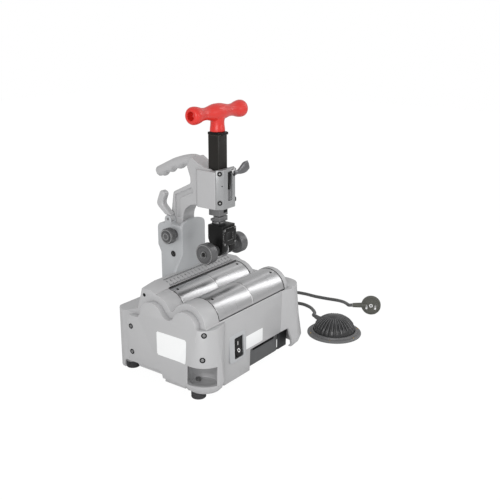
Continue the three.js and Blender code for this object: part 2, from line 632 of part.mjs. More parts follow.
const tailNotch = block([-endX - COVER.thickness - OVERRUN, -endX],
  [-CORNER.tailFront, -CORNER.tailY + OVERRUN],
  [-OVERRUN, COVER.foot]);
add('left_end_cover', endCover(coverOutline, CORNER.top, CORNER.hollowLow, [nicheShell, footBoss],
  [niche, footBore, tailNotch]), 'casting');
const cutoutRoom = slab([
  [0, -OVERRUN], [-CUTOUT.legLow, -OVERRUN], [-CUTOUT.legHigh, CUTOUT.legTop], [-CORNER.inner, CUTOUT.top],
  [0, CUTOUT.top],
], -endX, -CORNER.back + OVERRUN, 'xz');
const legHollow = loft(cornerRings(CUTOUT.legWall, cornerZones(CORNER.sill, CUTOUT.top), CUTOUT.legWall));
const legRoom = join(legHollow, shifted(legHollow, 0, 0, -OVERRUN));
const rightHorn = block([-endX - COVER.thickness, -HOUSING.shoulder - GAP], [-endX, -CORNER.back - GAP],
  [CORNER.rightTop - OVERRUN, HOUSING.shoulderTop]).intersect(
  loft(cornerRings(0, cornerZones(CORNER.sill, HOUSING.shoulderTop), 0)),
);
const rightCover = endCover(rightOutline, CORNER.rightTop, CUTOUT.top - CORNER.wall, [],
  [cutoutRoom, legRoom]);
add('right_end_cover', cut(mirrored(join(rightCover, rightHorn)), cableHoles(OVERRUN)), 'casting');

// Base plate and the chassis sheet that shows through the front cutout
const plateLow = -PLATE.front;
add('base_plate', slab([
  [-PLATE.half, plateLow, PLATE.corner], [PLATE.half, plateLow, PLATE.corner],
  [PLATE.half, PLATE.rear, PLATE.corner], [-PLATE.half, PLATE.rear, PLATE.corner],
], 0, PLATE.thickness, 'xy'), 'sheet');
const sheetHalf = CHASSIS.thickness / 2;
const sheetFront = -CHASSIS.y - sheetHalf;
const sheetBack = -CHASSIS.y + sheetHalf;
const chassis = slab([
  [-CHASSIS.left, sheetFront], [CHASSIS.right + sheetHalf, sheetFront, CHASSIS.bend + sheetHalf],
  [CHASSIS.right + sheetHalf, CHASSIS.returnY], [CHASSIS.right - sheetHalf, CHASSIS.returnY],
  [CHASSIS.right - sheetHalf, sheetBack, CHASSIS.bend - sheetHalf], [-CHASSIS.left, sheetBack],
], PLATE.thickness + GAP, PLATE.thickness + CHASSIS.height, 'xy');
add('inner_chassis', cut(chassis, block(
  [CHASSIS.slotLeft, CHASSIS.slotRight], [sheetFront - OVERRUN, sheetBack + OVERRUN],
    [CHASSIS.slotLow, CHASSIS.slotHigh],
)), 'sheet');

// Rubber feet and their bolts
const floorZ = PLATE.thickness - FOOT.height;
Object.entries(footSpots).forEach(([corner, [x, y]]) => {
  const front = corner === 'front_left';
  const seat = front ? CORNER.sill : rim;
  const profile = [[FOOT.radius - FOOT.taper, floorZ], [FOOT.radius, seat - GAP]];
  const foot = turned(profile, 'z', [x, y, 0]);
  const recess = rod(FOOT.recess, 'z', [x, y], floorZ - OVERRUN, floorZ + FOOT.recessDepth);
  add(`${corner}_foot`, cut(foot, rod(FOOT.shank + FIT, 'z', [x, y], floorZ - OVERRUN, seat + OVERRUN),
    recess), 'rubber');
  const headLow = front ? FOOT.bossTop + GAP : floorZ + FOOT.recessDepth - GAP;
  const headHigh = headLow + (front ? FOOT.headHeight : -FOOT.headHeight);
  const shankEnd = front ? headLow - FOOT.gripLength : headLow + FOOT.gripLength;
  const bolt = [[FOOT.head, headHigh], [FOOT.head, headLow], [FOOT.shank, headLow], [FOOT.shank, shankEnd]];
  add(`${corner}_foot_bolt`, turned(bolt, 'z', [x, y, 0]), 'grey');
});

// Rocker switch
const rockerX = [-SWITCH.rockerLeft, -SWITCH.rockerRight];
const rockerZ = (SWITCH.rockerLow + SWITCH.rockerHigh) / 2;
const rockerHalf = (SWITCH.rockerHigh - SWITCH.rockerLow) / 2;
const switchFace = -SWITCH.face;
const pivotY = switchFace + SWITCH.pivotDepth;
const grown = ([low, high], by) => [low - by, high + by];
const caseRoom = grown([rockerZ - rockerHalf, rockerZ + rockerHalf], SWITCH.margin);
const switchFrame = cut(
  join(
    slab([
      [-SWITCH.left + GAP, SWITCH.low + GAP, SWITCH.corner],
        [-SWITCH.right - GAP, SWITCH.low + GAP, SWITCH.corner],
      [-SWITCH.right - GAP, SWITCH.high - GAP, SWITCH.corner],
        [-SWITCH.left + GAP, SWITCH.high - GAP, SWITCH.corner],
    ], switchFace, switchFace + SWITCH.plate, 'xz'),
    block(grown(rockerX, GAP + SWITCH.bodyWall), [switchFace + SWITCH.plate - GAP, switchFace + SWITCH.body],
      grown(caseRoom, SWITCH.bodyWall)),
  ),
  block(grown(rockerX, GAP), [switchFace - OVERRUN, switchFace + SWITCH.body - SWITCH.bodyWall], caseRoom),
  rod(SWITCH.pin + FIT, 'x', [pivotY, rockerZ], rockerX[0] - SWITCH.bodyWall, rockerX[1] + SWITCH.bodyWall),
);
add('switch_frame', switchFrame, 'black');
const rockerSection = [
  [-SWITCH.crown, -rockerHalf], [-SWITCH.dish, 0], [-SWITCH.crown, rockerHalf], [-SWITCH.waist, rockerHalf],
  [SWITCH.heelDepth, SWITCH.heelHalf], [SWITCH.heelDepth, -SWITCH.heelHalf], [-SWITCH.waist, -rockerHalf],
];
const rocker = join(
  slab(rockerSection, ...rockerX, 'yz'),
  rod(SWITCH.pin, 'x', [0, 0], rockerX[0] - SWITCH.bodyWall + GAP, rockerX[1] + SWITCH.bodyWall - GAP),
);
const rockerTilt = new THREE.Matrix4().makeRotationX(-SWITCH.tilt * DEGREE);
add('rocker', shifted(moved(rocker, rockerTilt), 0, pivotY, rockerZ), 'black');

// Gear train, motor and bearings
function gear(teeth, centre, phase, bore) {
  const pitchRadius = GEAR.module * teeth / 2;
  const tip = pitchRadius + GEAR.module * GEAR.addendumShare;
  const root = pitchRadius - GEAR.module * GEAR.dedendumShare;
  const outline = [];
  for (let tooth = 0; tooth < teeth; tooth += 1) {
    const middle = phase + TURN * tooth / teeth;
    [[root, -GEAR.rootShare], [tip, -GEAR.tipShare], [tip, GEAR.tipShare],
      [root, GEAR.rootShare]].forEach(([radius, share]) => {
      const turn = middle + share * GEAR.module / radius;
      outline.push([centre[0] + radius * Math.cos(turn), centre[1] + radius * Math.sin(turn)]);
    });
  }
  const wheel = slab(outline, -GEAR.inner - GEAR.width, -GEAR.inner, 'yz');
  return bore ? cut(wheel, rod(bore, 'x', centre, -GEAR.inner - GEAR.width - OVERRUN,
    -GEAR.inner + OVERRUN)) : wheel;
}

// Turns the driven gear so that its gap faces the driver's tooth on the line of centres
function meshPhase(driverPhase, driverTeeth, driverCentre, teeth, centre) {
  const line = Math.atan2(centre[1] - driverCentre[1], centre[0] - driverCentre[0]);
  const place = (line - driverPhase) * driverTeeth / TURN;
  return line + Math.PI - (TURN / teeth) * (1 / 2 - place);
}

const centres = { front: [axes.front, axisZ], rear: [axes.rear, axisZ], drive: [0, driveZ],
  idler: [0, idlerZ], motor: [0, motorZ] };
const frontPhase = 0;
const drivePhase = meshPhase(frontPhase, GEAR.rollerTeeth, centres.front, GEAR.pinionTeeth, centres.drive);
const rearPhase = meshPhase(drivePhase, GEAR.pinionTeeth, centres.drive, GEAR.rollerTeeth, centres.rear);
const idlerPhase = meshPhase(drivePhase, GEAR.pinionTeeth, centres.drive, GEAR.idlerTeeth, centres.idler);
const motorPhase = meshPhase(idlerPhase, GEAR.idlerTeeth, centres.idler, GEAR.pinionTeeth, centres.motor);
const journalBore = ROLLER.journal + FIT;
const plateOuter = -BEARING.leftInner - BEARING.leftWidth;
const shaftEnds = [plateOuter + GAP, -bayHalf - GAP];
add('front_roller_gear', gear(GEAR.rollerTeeth, centres.front, frontPhase, journalBore), 'steel');
add('rear_roller_gear', gear(GEAR.rollerTeeth, centres.rear, rearPhase, journalBore), 'steel');
add('drive_pinion', join(gear(GEAR.pinionTeeth, centres.drive, drivePhase),
  rod(GEAR.shaft, 'x', centres.drive, ...shaftEnds)), 'steel');
add('idler_gear', join(gear(GEAR.idlerTeeth, centres.idler, idlerPhase),
  rod(GEAR.shaft, 'x', centres.idler, ...shaftEnds)), 'steel');
add('motor_pinion', join(gear(GEAR.pinionTeeth, centres.motor, motorPhase),
  rod(GEAR.motorShaft, 'x', centres.motor, -GEAR.inner - GEAR.width, -innerWall - GAP)), 'steel');

const motorFace = -bayHalf + GAP;
const gearboxEnd = motorFace + MOTOR.gearboxLength;
add('gear_motor', turned([
  [MOTOR.boss, -innerWall], [MOTOR.boss, motorFace], [MOTOR.gearbox, motorFace], [MOTOR.gearbox, gearboxEnd],
  [MOTOR.body, gearboxEnd], [MOTOR.body, motorFace + MOTOR.length], [MOTOR.boss, motorFace + MOTOR.length],
  [MOTOR.boss, motorFace + MOTOR.length + MOTOR.bossLength],
], 'x', [0, 0, motorZ]), 'dark');
const saddle = motorZ - MOTOR.body + MOTOR.saddle;
add('motor_cradle', cut(
  block([-MOTOR.cradleFrom, MOTOR.cradleTo], [-MOTOR.cradleHalf, MOTOR.cradleHalf],
    [PLATE.thickness + GAP, saddle]),
  rod(MOTOR.body + FIT, 'x', [0, motorZ], -endX, endX),
), 'sheet');

const plateHalf = rearY + humpRadius - BEARING.plateInset;
const plateOutline = [[-plateHalf, BEARING.plateFoot, BEARING.plateCorner], ...humpLine(BEARING.plateInset),
  [plateHalf, BEARING.plateFoot, BEARING.plateCorner]];
const bearingBore = BEARING.outer + FIT;
const pillars = [-1, 1].flatMap((side) => [BEARING.pillarLow, BEARING.pillarHigh].map((z) => rod(
  BEARING.pillar, 'x', [side * BEARING.pillarY, z], -BEARING.leftInner - OVERRUN, -innerWall - GAP,
)));
add('left_bearing_plate', cut(
  join(slab(plateOutline, plateOuter, -BEARING.leftInner, 'yz'), ...pillars),
  atBothAxes(bearingBore, plateOuter - OVERRUN, -BEARING.leftInner + OVERRUN),
  rod(GEAR.shaft + FIT, 'x', centres.drive, plateOuter - OVERRUN, -innerWall),
  rod(GEAR.shaft + FIT, 'x', centres.idler, plateOuter - OVERRUN, -innerWall),
), 'grey');
const rightInner = innerWall + GAP;
const rightOuter = rightInner + BEARING.rightWidth - GAP;
add('right_bearing_plate', cut(
  slab(plateOutline, rightInner, rightOuter, 'yz'),
  atBothAxes(bearingBore, rightInner - OVERRUN, rightOuter + OVERRUN),
), 'grey');
Object.entries(axes).forEach(([side, y]) => {
  const left = bush(BEARING.outer, journalBore, 'x', [y, axisZ], plateOuter + BEARING.race,
    -BEARING.leftInner - BEARING.race);
  const right = bush(BEARING.outer, journalBore, 'x', [y, axisZ], rightInner + BEARING.race,
    rightOuter - BEARING.race);
  add(`left_${side}_bearing`, left, 'bright');
  add(`right_${side}_bearing`, right, 'bright');
});

// Rollers, each with its journals, the cutting groove and two set-screw holes
Object.entries(axes).forEach(([side, y]) => {
  const half = ROLLER.length / 2;
  const groove = ROLLER.grooveWidth / 2;
  const roller = turned([
    [ROLLER.journal, plateOuter + GAP], [ROLLER.journal, -half], [ROLLER.radius, -half],
      [ROLLER.radius, -groove],
    [ROLLER.radius - ROLLER.grooveDepth, -groove], [ROLLER.radius - ROLLER.grooveDepth, groove],
      [ROLLER.radius, groove],
    [ROLLER.radius, half], [ROLLER.journal, half], [ROLLER.journal, rightOuter],
  ], 'x', [0, y, axisZ]);
  const lean = (side === 'front' ? ROLLER.frontLean : ROLLER.rearLean) * DEGREE;
  const holes = [-1, 1].map((end) => {
    const hole = rod(ROLLER.screwRadius, 'z', [0, 0], ROLLER.radius - ROLLER.screwDepth,
      ROLLER.radius + OVERRUN);
    const turnedHole = moved(hole, new THREE.Matrix4().makeRotationX(lean));
    return shifted(turnedHole, end * (half - ROLLER.screwInset), y, axisZ);
  });
  add(`${side}_roller`, cut(roller, ...holes), 'bright');
});

// Post with the shield, two cheeks and a foot
const shieldBack = POST.shieldFront + POST.shieldThickness;
const shieldLow = HOUSING.platform + GAP;
const crownRise = POST.shieldTop - POST.shieldShoulder;
const shieldOutline = [
  [-POST.flareHalf, shieldLow], [-POST.flareHalf, POST.flareLow, POST.flareRound],
  [-POST.half, POST.flareHigh, POST.flareRound],
    [-POST.half, POST.shieldShoulder + crownRise / 3, POST.shieldCorner],
  [0, POST.shieldTop, POST.half * 2], [POST.half, POST.shieldShoulder + crownRise / 3, POST.shieldCorner],
  [POST.half, POST.flareHigh, POST.flareRound], [POST.flareHalf, POST.flareLow, POST.flareRound],
  [POST.flareHalf, shieldLow],
];
const postSection = [
  [shieldBack - OVERRUN, shieldLow], [shieldBack - OVERRUN, POST.cheekTop],
    [POST.blockRear, POST.cheekTop, POST.cheekCorner],
  [POST.blockRear, POST.stepHigh], [POST.rear, POST.stepLow], [POST.rear, shieldLow],
];
const lugHalf = LEVER.knuckle;
const lugX = [-POST.half, -POST.slotHalf];
const lug = slab([
  [LEVER.y - lugHalf, POST.cheekTop - OVERRUN], ...arc(LEVER.y, LEVER.z, lugHalf, 180, 0),
  [LEVER.y + lugHalf, POST.cheekTop - OVERRUN],
], ...lugX, 'yz');
const knuckleX = [lugX[0] + LEVER.lug, lugX[1] - LEVER.lug];
const knuckleRoom = rod(LEVER.knuckle + LEVER.headGap, 'x', [LEVER.y, LEVER.z], knuckleX[0], knuckleX[1]);
const post = cut(
  join(
    slab(shieldOutline, POST.shieldFront, shieldBack, 'xz'),
    slab(postSection, -POST.half, POST.half, 'yz'),
    slab([
      [-POST.footHalf, POST.footFront, POST.footCorner], [POST.footHalf, POST.footFront, POST.footCorner],
      [POST.footHalf, POST.footRear, POST.footCorner], [-POST.footHalf, POST.footRear, POST.footCorner],
    ], shieldLow, shieldLow + POST.footThickness, 'xy'),
    lug,
  ),
  rod(hoodRadius + GAP, 'x', [rearY, axisZ], -endX, endX),
  block([-POST.slotHalf, POST.slotHalf], [shieldBack, POST.blockRear + OVERRUN],
    [POST.slotFloor, POST.shieldTop + endX]),
  block(grown([-POST.half, POST.half], -POST.hollowWall),
    [shieldBack + POST.hollowWall, POST.rear - POST.hollowWall],
    [shieldLow - OVERRUN, POST.slotFloor - POST.hollowWall]),
  rod(PIVOT.pin + FIT, 'x', [PIVOT.y, PIVOT.z], -endX, endX),
  rod(KNOB.stem + FIT, 'x', [KNOB.y, KNOB.z], -endX, -POST.slotHalf + OVERRUN),
  rod(LEVER.pin + FIT, 'x', [LEVER.y, LEVER.z], -endX, -POST.slotHalf + OVERRUN),
  knuckleRoom,
);
add('post', post, 'casting');
add('arm_pivot_pin', rod(PIVOT.pin, 'x', [PIVOT.y, PIVOT.z], -POST.half, POST.half), 'grey');

// Clamp knob on the left cheek, pointing at the arm
const knobSteps = [KNOB.collarLength, KNOB.neckLength, KNOB.gripLength, KNOB.noseLength];
const knobX = knobSteps.reduce((places, length) => [...places, places.at(-1) - length], [-POST.half - GAP]);
add('clamp_knob', turned([
  [KNOB.stem, -ARM.half - GAP], [KNOB.stem, knobX[0]], [KNOB.collar, knobX[0]], [KNOB.collar, knobX[1]],
  [KNOB.neck, knobX[1]], [KNOB.neck, knobX[2]], [KNOB.grip - KNOB.chamfer, knobX[2]],
  [KNOB.grip, knobX[2] - KNOB.chamfer], [KNOB.grip, knobX[3] + KNOB.chamfer],
    [KNOB.grip - KNOB.chamfer, knobX[3]],
  [KNOB.nose, knobX[3]], [KNOB.nose, knobX[4] + KNOB.noseRound], [KNOB.nose - KNOB.noseRound, knobX[4]],
], 'x', [0, KNOB.y, KNOB.z]), 'dark');

// Curved hold-down lever on the left cheek
const leverBand = [
  [LEVER.y - lugHalf, LEVER.z + lugHalf], [LEVER.y + lugHalf, LEVER.z + lugHalf],
    [LEVER.outerY, LEVER.outerZ, LEVER.outerRound],
  [LEVER.tipRear, LEVER.tipTop, LEVER.tipRound], [LEVER.tipFront, LEVER.tipLow, LEVER.tipRound],
  [LEVER.innerY, LEVER.innerZ, LEVER.innerRound],
];
const swingRadius = LEVER.knuckle + LEVER.headGap;
const lever = cut(
  join(
    cut(slab(leverBand, -POST.half, -LEVER.inner, 'yz', LEVER.bevel),
      rod(swingRadius, 'x', [LEVER.y, LEVER.z], -endX, endX)),
    block([knuckleX[0] + GAP, knuckleX[1] - GAP], [LEVER.y - LEVER.root, LEVER.y + LEVER.root],
      [LEVER.z, LEVER.z + swingRadius + OVERRUN]),
    rod(LEVER.knuckle, 'x', [LEVER.y, LEVER.z], knuckleX[0] + GAP, knuckleX[1] - GAP),
  ),
  rod(LEVER.pin + FIT, 'x', [LEVER.y, LEVER.z], -endX, 0),
);
add('hold_down_lever', lever, 'casting');
add('lever_pin', rod(LEVER.pin, 'x', [LEVER.y, LEVER.z], -POST.half, -POST.slotHalf - GAP), 'grey');

// Arm: block for the feed tube, arch, leg with the pivot hub, and the carrying grip
const channelHalf = FEED.size / 2 + GAP;
const channelRear = FEED.y + channelHalf;
const armOutline = [
  [-BLOCK.front, BLOCK.low], [ARM.archY, BLOCK.low], ...arc(ARM.archY, ARM.archZ, ARM.archRadius, 90, 0),
  ...arc(PIVOT.y, PIVOT.z, PIVOT.hub, 180, 360), [ARM.legRear, ARM.legTop, ARM.elbowRound],
  [ARM.elbowY, ARM.elbowZ, ARM.elbowRound], [ARM.neckY, ARM.neckLowZ, ARM.neckRound],
  [ARM.neckY, ARM.neckHighZ, ARM.neckRound], [ARM.underY, ARM.underZ, ARM.neckRound],
  [ARM.crownY, ARM.crownZ, ARM.crownRound], [ARM.shoulderY, ARM.shoulderZ, ARM.neckRound],
  [FEED.y, BLOCK.high, ARM.neckRound], [-BLOCK.front, BLOCK.high],
];
const gripLine = [
  [0, ARM.shoulderY, ARM.gripRootZ], [0, ARM.crownY, ARM.gripRiseZ], [0, ARM.gripMidY, ARM.gripMidZ],
  [0, ARM.gripEndY, ARM.gripEndZ],
];
const rearHalf = BLOCK.half - BLOCK.rearChamfer;
const blockOutline = [
  [-BLOCK.half, -BLOCK.front], [BLOCK.half, -BLOCK.front], [BLOCK.half, BLOCK.rear - BLOCK.rearChamfer],
  [rearHalf, BLOCK.rear], [-rearHalf, BLOCK.rear], [-BLOCK.half, BLOCK.rear - BLOCK.rearChamfer],
];
const panelOutline = [
  [ARM.panelRearY, ARM.panelLowZ, ARM.panelRound], [ARM.panelFrontY, ARM.panelLowZ, ARM.panelRound],
  [ARM.panelFrontY, ARM.panelBendZ, ARM.panelRound], [ARM.panelTipY, ARM.panelTipLow, ARM.panelRound],
  [ARM.panelTipY, ARM.panelTipHigh, ARM.panelRound], [ARM.panelRearY, ARM.panelCornerZ, ARM.panelRound],
];
const arm = cut(
  join(
    slab(armOutline, -ARM.half, ARM.half, 'yz'),
    solidOf(sweep(gripLine, ARM.gripHalf, ARM.gripThick / 2, LEAST_SIDES, 2 * LEAST_SIDES)),
    slab(blockOutline, BLOCK.low, BLOCK.high, 'xy'),
  ),
  block([-channelHalf, channelHalf], [-BLOCK.front - OVERRUN, channelRear],
    [BLOCK.low - OVERRUN, BLOCK.high + endX]),
  rod(PIVOT.pin + FIT, 'x', [PIVOT.y, PIVOT.z], -endX, endX),
  slab(panelOutline, -ARM.half - OVERRUN, -ARM.half + ARM.panelDepth, 'yz'),
  slab(panelOutline, ARM.half - ARM.panelDepth, ARM.half + OVERRUN, 'yz'),
);
add('arm', arm, 'casting');

// Guide cover, the gib behind it and the clamp lever in front
const coverBack = -BLOCK.front - GAP;
const gibRoom = [-BLOCK.gibHalf - GAP, BLOCK.gibHalf + GAP];
add('guide_cover', cut(
  slab([[-BLOCK.half, coverBack], [BLOCK.half, coverBack], [BLOCK.coverHalf, -BLOCK.coverFront],
    [-BLOCK.coverHalf, -BLOCK.coverFront]], BLOCK.low, BLOCK.high, 'xy'),
  block([-BLOCK.slotLeft, BLOCK.slotRight],
    [-BLOCK.coverFront - OVERRUN, -BLOCK.coverFront + BLOCK.slotDepth],
    [BLOCK.slotLow, BLOCK.slotHigh]),
  block(gibRoom, [coverBack - BLOCK.gibDepth, coverBack + OVERRUN],
    [BLOCK.low + BLOCK.gibEnd, BLOCK.high - BLOCK.gibEnd]),
), 'casting');
const gibFace = FEED.y - FEED.size / 2 - GAP;
add('gib_strip', block([-BLOCK.gibHalf, BLOCK.gibHalf], [coverBack - BLOCK.gibDepth + GAP, gibFace],
  [BLOCK.low + BLOCK.gibEnd + GAP, BLOCK.high - BLOCK.gibEnd - GAP]), 'brass');
const wingBack = -BLOCK.coverFront - GAP;
const wing = [
  [WING.x, WING.z + WING.root], ...arc(WING.x, WING.z, WING.root, 100, 260),
  [WING.tip, WING.tipLow, WING.tipRound], [WING.tip, WING.tipHigh, WING.tipRound],
];
add('clamp_lever', slab(wing, wingBack - WING.thickness, wingBack, 'xz'), 'dark');

// Feed tube, collar, screw and T-handle
const tubeHalf = FEED.size / 2;
const tubeY = grown([FEED.y, FEED.y], tubeHalf);
const tubeX = [-tubeHalf, tubeHalf];
add('feed_tube', cut(
  block(tubeX, tubeY, [FEED.low, FEED.high]),
  block(grown(tubeX, -FEED.wall), grown(tubeY, -FEED.wall), [FEED.low - OVERRUN, FEED.high + OVERRUN]),
), 'black');
const collarLow = FEED.high + GAP;
const collarHigh = FEED.high + FEED.collar;
add('tube_collar', cut(
  join(block(tubeX, tubeY, [collarLow, collarHigh]),
    block([-FEED.tabHalf, FEED.tabHalf], [tubeY[0] - FEED.tabReach, tubeY[0] + OVERRUN],
      [collarLow, collarHigh])),
  rod(FEED.screw + FIT, 'z', [0, FEED.y], collarLow - OVERRUN, collarHigh + OVERRUN),
), 'black');
add('feed_screw', rod(FEED.screw, 'z', [0, FEED.y], FEED.screwLow, collarHigh), 'steel');
const ends = [-HANDLE.left, HANDLE.right];
const side = (x, radius, towards) => [radius, x - Math.sign(x) * towards];
const bar = ring([
  [0, ends[0] + HANDLE.boreDepth], [HANDLE.bore, ends[0] + HANDLE.boreDepth], [HANDLE.bore, ends[0]],
  [HANDLE.end - HANDLE.round, ends[0]], side(ends[0], HANDLE.end, HANDLE.round),
    side(ends[0], HANDLE.end, HANDLE.endLength),
  [HANDLE.waist, -HANDLE.waistAt], [HANDLE.centre, -HANDLE.centreHalf], [HANDLE.centre, HANDLE.centreHalf],
  [HANDLE.waist, HANDLE.waistAt], side(ends[1], HANDLE.end, HANDLE.endLength),
    side(ends[1], HANDLE.end, HANDLE.round),
  [HANDLE.end - HANDLE.round, ends[1]], [HANDLE.bore, ends[1]], [HANDLE.bore, ends[1] - HANDLE.boreDepth],
  [0, ends[1] - HANDLE.boreDepth],
], 'x', [0, HANDLE.y, HANDLE.z]);
const stem = turned([
  [HANDLE.stem, collarHigh + GAP], [HANDLE.stem, collarHigh + HANDLE.round],
    [HANDLE.stemWaist, HANDLE.stemTop - HANDLE.round],
  [HANDLE.stem, HANDLE.z],
], 'z', [0, FEED.y, 0]);
add('t_handle', join(bar, stem), 'red');

// Cutter head
const slideHalf = FEED.slide / 2;
const shankHalf = FEED.shankSize / 2;
add('head_slide', cut(
  join(
    block([-slideHalf, slideHalf], grown([FEED.y, FEED.y], slideHalf), [FEED.slideLow, FEED.low - GAP]),
    block([-shankHalf, shankHalf], grown([FEED.y, FEED.y], shankHalf), [FEED.low - OVERRUN, FEED.shankTop]),
    turned([[FEED.neckFlange, HEAD.high + GAP], [FEED.neckFlange, HEAD.high + FEED.neckFlangeHeight],
      [FEED.neck, HEAD.high + FEED.neckFlangeHeight], [FEED.neck, FEED.slideLow + OVERRUN]], 'z',
        [0, FEED.y, 0]),
  ),
  rod(FEED.screw + FIT, 'z', [0, FEED.y], FEED.screwLow - OVERRUN, FEED.shankTop + OVERRUN),
), 'steel');
const headX = [-HEAD.half, HEAD.half];
const forkOutline = [
  [-HEAD.front, HEAD.low + HEAD.chamfer], [-HEAD.front, HEAD.high], [HEAD.rear + FEED.y, HEAD.high],
  [HEAD.rear + FEED.y, HEAD.slotTop], [HEAD.rear - HEAD.chamfer, HEAD.low],
    [-HEAD.front + HEAD.chamfer, HEAD.low],
];
const axlePlace = [-HEAD.y, HEAD.z];
add('cutter_fork', cut(
  slab(forkOutline, ...headX, 'yz'),
  block([-HEAD.slotHalf, HEAD.slotHalf], [-HEAD.front - OVERRUN, HEAD.rear + FEED.y + OVERRUN],
    [HEAD.low - OVERRUN, HEAD.slotTop]),
  rod(HEAD.axle + FIT, 'x', axlePlace, -endX, endX),
), 'black');
const forkPlateBack = -HEAD.front - GAP;
add('fork_plate', cut(
  slab([
    [-HEAD.half, HEAD.plateLow, HEAD.plateThickness], [HEAD.half, HEAD.plateLow, HEAD.plateThickness],
    [HEAD.half, HEAD.plateHigh, HEAD.plateThickness], [-HEAD.half, HEAD.plateHigh, HEAD.plateThickness],
  ], forkPlateBack - HEAD.plateThickness, forkPlateBack, 'xz'),
  block([-HEAD.hub, HEAD.hub], [-endX, forkPlateBack - HEAD.plateThickness / 2],
    grown([HEAD.plateLow, HEAD.plateHigh], -HEAD.hub)),
), 'black');
add('cutter_axle', rod(HEAD.axle, 'x', axlePlace, -HEAD.axleHalf, HEAD.axleHalf), 'steel');
add('cutter_wheel', ring([
  [HEAD.axle + FIT, -HEAD.hubHalf], [HEAD.hub, -HEAD.hubHalf], [HEAD.hub, -HEAD.wheelHalf],
  [HEAD.wheel - HEAD.wheelHalf * 2, -HEAD.wheelHalf], [HEAD.wheel, -HEAD.edge / 2],
    [HEAD.wheel, HEAD.edge / 2],
  [HEAD.wheel - HEAD.wheelHalf * 2, HEAD.wheelHalf], [HEAD.hub, HEAD.wheelHalf], [HEAD.hub, HEAD.hubHalf],
  [HEAD.axle + FIT, HEAD.hubHalf], [HEAD.axle + FIT, -HEAD.hubHalf],
], 'x', [0, ...axlePlace]), 'bright');
const guide = ring([
  [HEAD.axle + FIT, -HEAD.guideOuter], [HEAD.guide - HEAD.guideChamfer, -HEAD.guideOuter],
  [HEAD.guide, -HEAD.guideOuter + HEAD.guideChamfer], [HEAD.guide, -HEAD.guideInner - HEAD.guideChamfer],
  [HEAD.guide - HEAD.guideChamfer, -HEAD.guideInner], [HEAD.guideHub, -HEAD.guideInner],
  [HEAD.guideHub, -HEAD.half - GAP], [HEAD.axle + FIT, -HEAD.half - GAP], [HEAD.axle + FIT, -HEAD.guideOuter],
], 'x', [0, ...axlePlace]);
add('left_guide_roller', guide, 'dark');
add('right_guide_roller', mirrored(guide), 'dark');

// Cords with their glands, the plug and the foot pedal
const coverFace = endX + COVER.thickness;
const glands = { mains_gland: [MAINS, CORD.glandReach], pedal_gland: [SIGNAL, CORD.pedalGlandReach] };
Object.entries(glands).forEach(([name, [place, reach]]) => {
  const flangeEnd = coverFace + GAP + CORD.glandFlange;
  add(name, turned([
    [CORD.glandBody, coverFace - CORD.glandDepth], [CORD.glandBody, coverFace + GAP],
      [CORD.gland, coverFace + GAP],
    [CORD.gland, flangeEnd], [CORD.glandBody, flangeEnd], [CORD.glandEnd, coverFace + reach],
  ], 'x', [0, place.y, place.z]), 'black');
});

// Lays a solid that was made along +X into the direction given, at a place
function laid(solid, direction, place) {
  const along = new THREE.Vector3(...direction).normalize();
  const turn = new THREE.Quaternion().setFromUnitVectors(X, along);
  const frame = new THREE.Matrix4().compose(new THREE.Vector3(...place), turn, new THREE.Vector3(1, 1, 1));
  return moved(solid, frame);
}

function cordBetween(start, startWay, route, end, endWay) {
  const lead = (place, way, reach) => place.map((value, axis) => value + way[axis] * reach);
  const places = [start, lead(start, startWay, 2 * CORD.radius), ...route,
    lead(end, endWay, 2 * CORD.radius), end];
  return sweep(places, CORD.radius, CORD.radius, CORD.sides);
}

const facing = PLUG.facing * DEGREE;
const plugWay = [Math.cos(facing), Math.sin(facing), 0];
const reliefWay = new THREE.Vector3(Math.sin(facing), -Math.cos(facing),
  0).setZ(-PLUG.reliefDrop / PLUG.reliefReach).normalize();
const plugPlace = [PLUG.x, PLUG.y, PLUG.z];
const relief = laid(turned([[PLUG.relief, 0], [PLUG.reliefEnd, PLUG.reliefReach]], 'x', [0, 0, 0]),
  reliefWay.toArray(), plugPlace);
const plugDisc = turned([
  [PLUG.body - PLUG.facetRound, -PLUG.bodyLength], [PLUG.body, -PLUG.bodyLength + PLUG.facetRound],
    [PLUG.body, -PLUG.discThickness],
  [PLUG.disc, -PLUG.discThickness + PLUG.flat], [PLUG.disc, 0],
], 'x', [0, 0, 0]);
const pinSpots = [-1, 1].map((end) => [end * PLUG.pinPitch / 2 * Math.sin(facing),
  -end * PLUG.pinPitch / 2 * Math.cos(facing), 0]
  .map((value, axis) => value + plugPlace[axis]));
const shiftedDisc = laid(plugDisc, plugWay,
  plugPlace.map((value, axis) => value + plugWay[axis] * PLUG.discThickness / 2));
const faceShift = plugWay.map((value) => value * PLUG.discThickness / 2);
const pinPlace = (spot) => spot.map((value, axis) => value + faceShift[axis]);
const pinFloor = -PLUG.discThickness / 2;
add('plug', cut(
  join(shiftedDisc, relief),
  ...pinSpots.map((spot) => laid(rod(PLUG.pin + FIT, 'x', [0, 0], pinFloor - GAP, OVERRUN), plugWay,
    pinPlace(spot))),
), 'black');
pinSpots.forEach((spot, index) => {
  add(`plug_pin_${index + 1}`, laid(rod(PLUG.pin, 'x', [0, 0], pinFloor, PLUG.pinLength), plugWay,
    pinPlace(spot)), 'bright');
});
const plugEnd = new THREE.Vector3(...plugPlace).addScaledVector(reliefWay, PLUG.reliefReach + GAP).toArray();
const mainsStart = [coverFace + CORD.glandReach + GAP, MAINS.y, MAINS.z];
add('mains_lead', cordBetween(mainsStart, [1, 0, 0], MAINS_ROUTE, plugEnd, reliefWay.toArray()), 'black');

